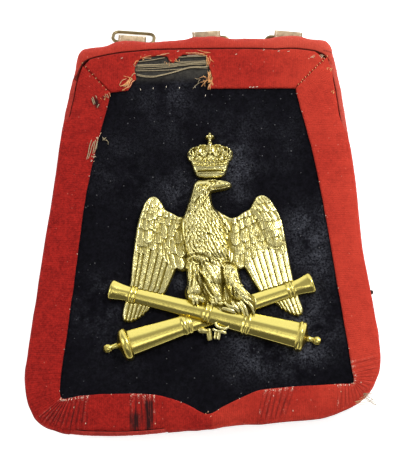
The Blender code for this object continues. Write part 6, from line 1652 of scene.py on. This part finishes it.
# Badge, the cannons: two turned brass barrels cast as half rounds with a flat back, polished on top. The
# front one crosses over the other; both have rings, a flared muzzle and a knob behind the breech.
polished = brass("polished_brass", (0.93, 0.84, 0.36, 1), (0.80, 0.69, 0.19, 1), (0.34, 0.25, 0.04, 1),
                 0.16, 0.32, 420.0)
for name, ends, profile, stands in (("front_cannon", FRONT_BARREL, FRONT_PROFILE, "badge_cannon_front"),
                                    ("rear_cannon", REAR_BARREL, REAR_PROFILE, "badge_cannon_rear")):
    start, end = np.array(ends[:2]), np.array(ends[2:])
    length = np.linalg.norm(end - start)
    way = (end - start) / length
    side = np.array([-way[1], way[0]])
    spans = [np.linspace(a, b, max(2, int((b - a) / (0.004 if 0.4 < a < 0.7 else 0.012))), endpoint=False)
             for a, b in zip(profile[:-1, 0], profile[1:, 0])]
    shares = np.concatenate(spans + [profile[-1:, 0]])
    radius = np.interp(shares, profile[:, 0], profile[:, 1])
    lifted = np.clip((shares - 1.0) / 0.02, 0, 1)[:, None, None] * side * (2.0 if way[0] < 0 else 0.0)
    over = np.sin(np.linspace(-math.pi / 2, math.pi / 2, 57)) * 0.9995
    off = over * radius[:, None]
    spots = start + way * (shares * length)[:, None, None] + side * off[..., None] - lifted
    high = BADGE_BACK + barrel_rise(off, radius[:, None])
    dent = 0.04 * wander(shares[:, None] * length, over * 9, 9, 95)
    top = np.dstack([spots, high + dent])
    crossing = np.zeros(high.shape)
    # painted shadow: the rear barrel darkened where it runs under the front one and just beside it
    if name == "rear_cannon":
        x, y, z = np.moveaxis(top, 2, 0)
        crossing += 0.6 * (barrel_top(x, y, FRONT_BARREL, FRONT_PROFILE + [0, 1.3]) > -5)
        lid = barrel_top(x, y, FRONT_BARREL, FRONT_PROFILE)
        top[..., 2] = np.where(lid > 0, np.minimum(z, BADGE_BACK + np.maximum(lid - 0.3, 0.3)), z)
    low = top.copy()
    low[..., 2] = BADGE_BACK
    points, faces = walled(top, low)
    # darker on the rings' steep faces, and painted shade along each barrel's lower edge
    ringed = np.clip(np.abs(np.gradient(radius)) * 1.2, 0, 1) * (np.abs(np.gradient(shares)) < 0.008)
    lower = np.repeat(0.05 * (over < -0.8)[None], len(shares), 0)
    make(name, points, faces, polished, "polished_brass", [stands], sharp=32.0,
         hollow=np.tile((0.04 + 0.35 * ringed[:, None] + lower + crossing).ravel(), 2))

# Badge, below the crossing: the ends of the trunnions, one of them split, two lifting handles across them and
# a wedge beside the left one, all small bars soldered under the front barrel's edge.
FITTINGS = [
    # along each bar: x, y, radius; height of its middle over the badge's back at both ends; how brown
    ([(0.8, -75.2, 2.2), (1.1, -78.6, 2.4), (1.6, -83.4, 2.1), (1.8, -84.4, 1.8)], 3.2, 2.6, 0.22),
    ([(6.4, -76.4, 1.0), (6.2, -79.6, 1.1), (5.6, -82.6, 1.1), (5.4, -83.4, 0.9)], 3.4, 2.8, 0.0),
    ([(9.1, -76.6, 1.4), (8.9, -79.8, 1.5), (8.3, -83.2, 1.5), (8.1, -84.0, 1.2)], 3.6, 3.0, 0.0),
    ([(6.6, -70.9, 1.0), (7.4, -74.0, 1.2), (13.4, -76.0, 1.2), (16.9, -74.3, 1.1)], 6.4, 4.6, 0.0),
    ([(3.8, -76.2, 1.3), (7.0, -77.4, 1.0), (11.0, -78.2, 1.4), (14.6, -79.5, 1.4)], 5.4, 4.2, 0.0),
    ([(-7.4, -75.6, 1.6), (-5.0, -76.8, 2.4), (-1.6, -77.4, 2.0), (1.2, -77.6, 1.2)], 3.8, 4.2, 0.25)]
BAR_STEPS, BAR_SIDES = 19, 12
bars, sizes = [], []
for rows, first, last, _ in FITTINGS:
    line = drawn(rows, BAR_STEPS)
    bars.append(np.column_stack([line[:, :2], BADGE_BACK + np.linspace(first, last, BAR_STEPS)]))
    sizes.append(np.concatenate([[0.3], line[1:-1, 2], [0.3]]))
points, faces = strands(np.array(bars), np.array(sizes), sides=BAR_SIDES, taper=False)
make("cannon_fittings", points, faces, frosted, "frosted_brass", lay=np.full(len(points), 1.57),
     hollow=np.repeat([brown for _, _, _, brown in FITTINGS], BAR_STEPS * BAR_SIDES))
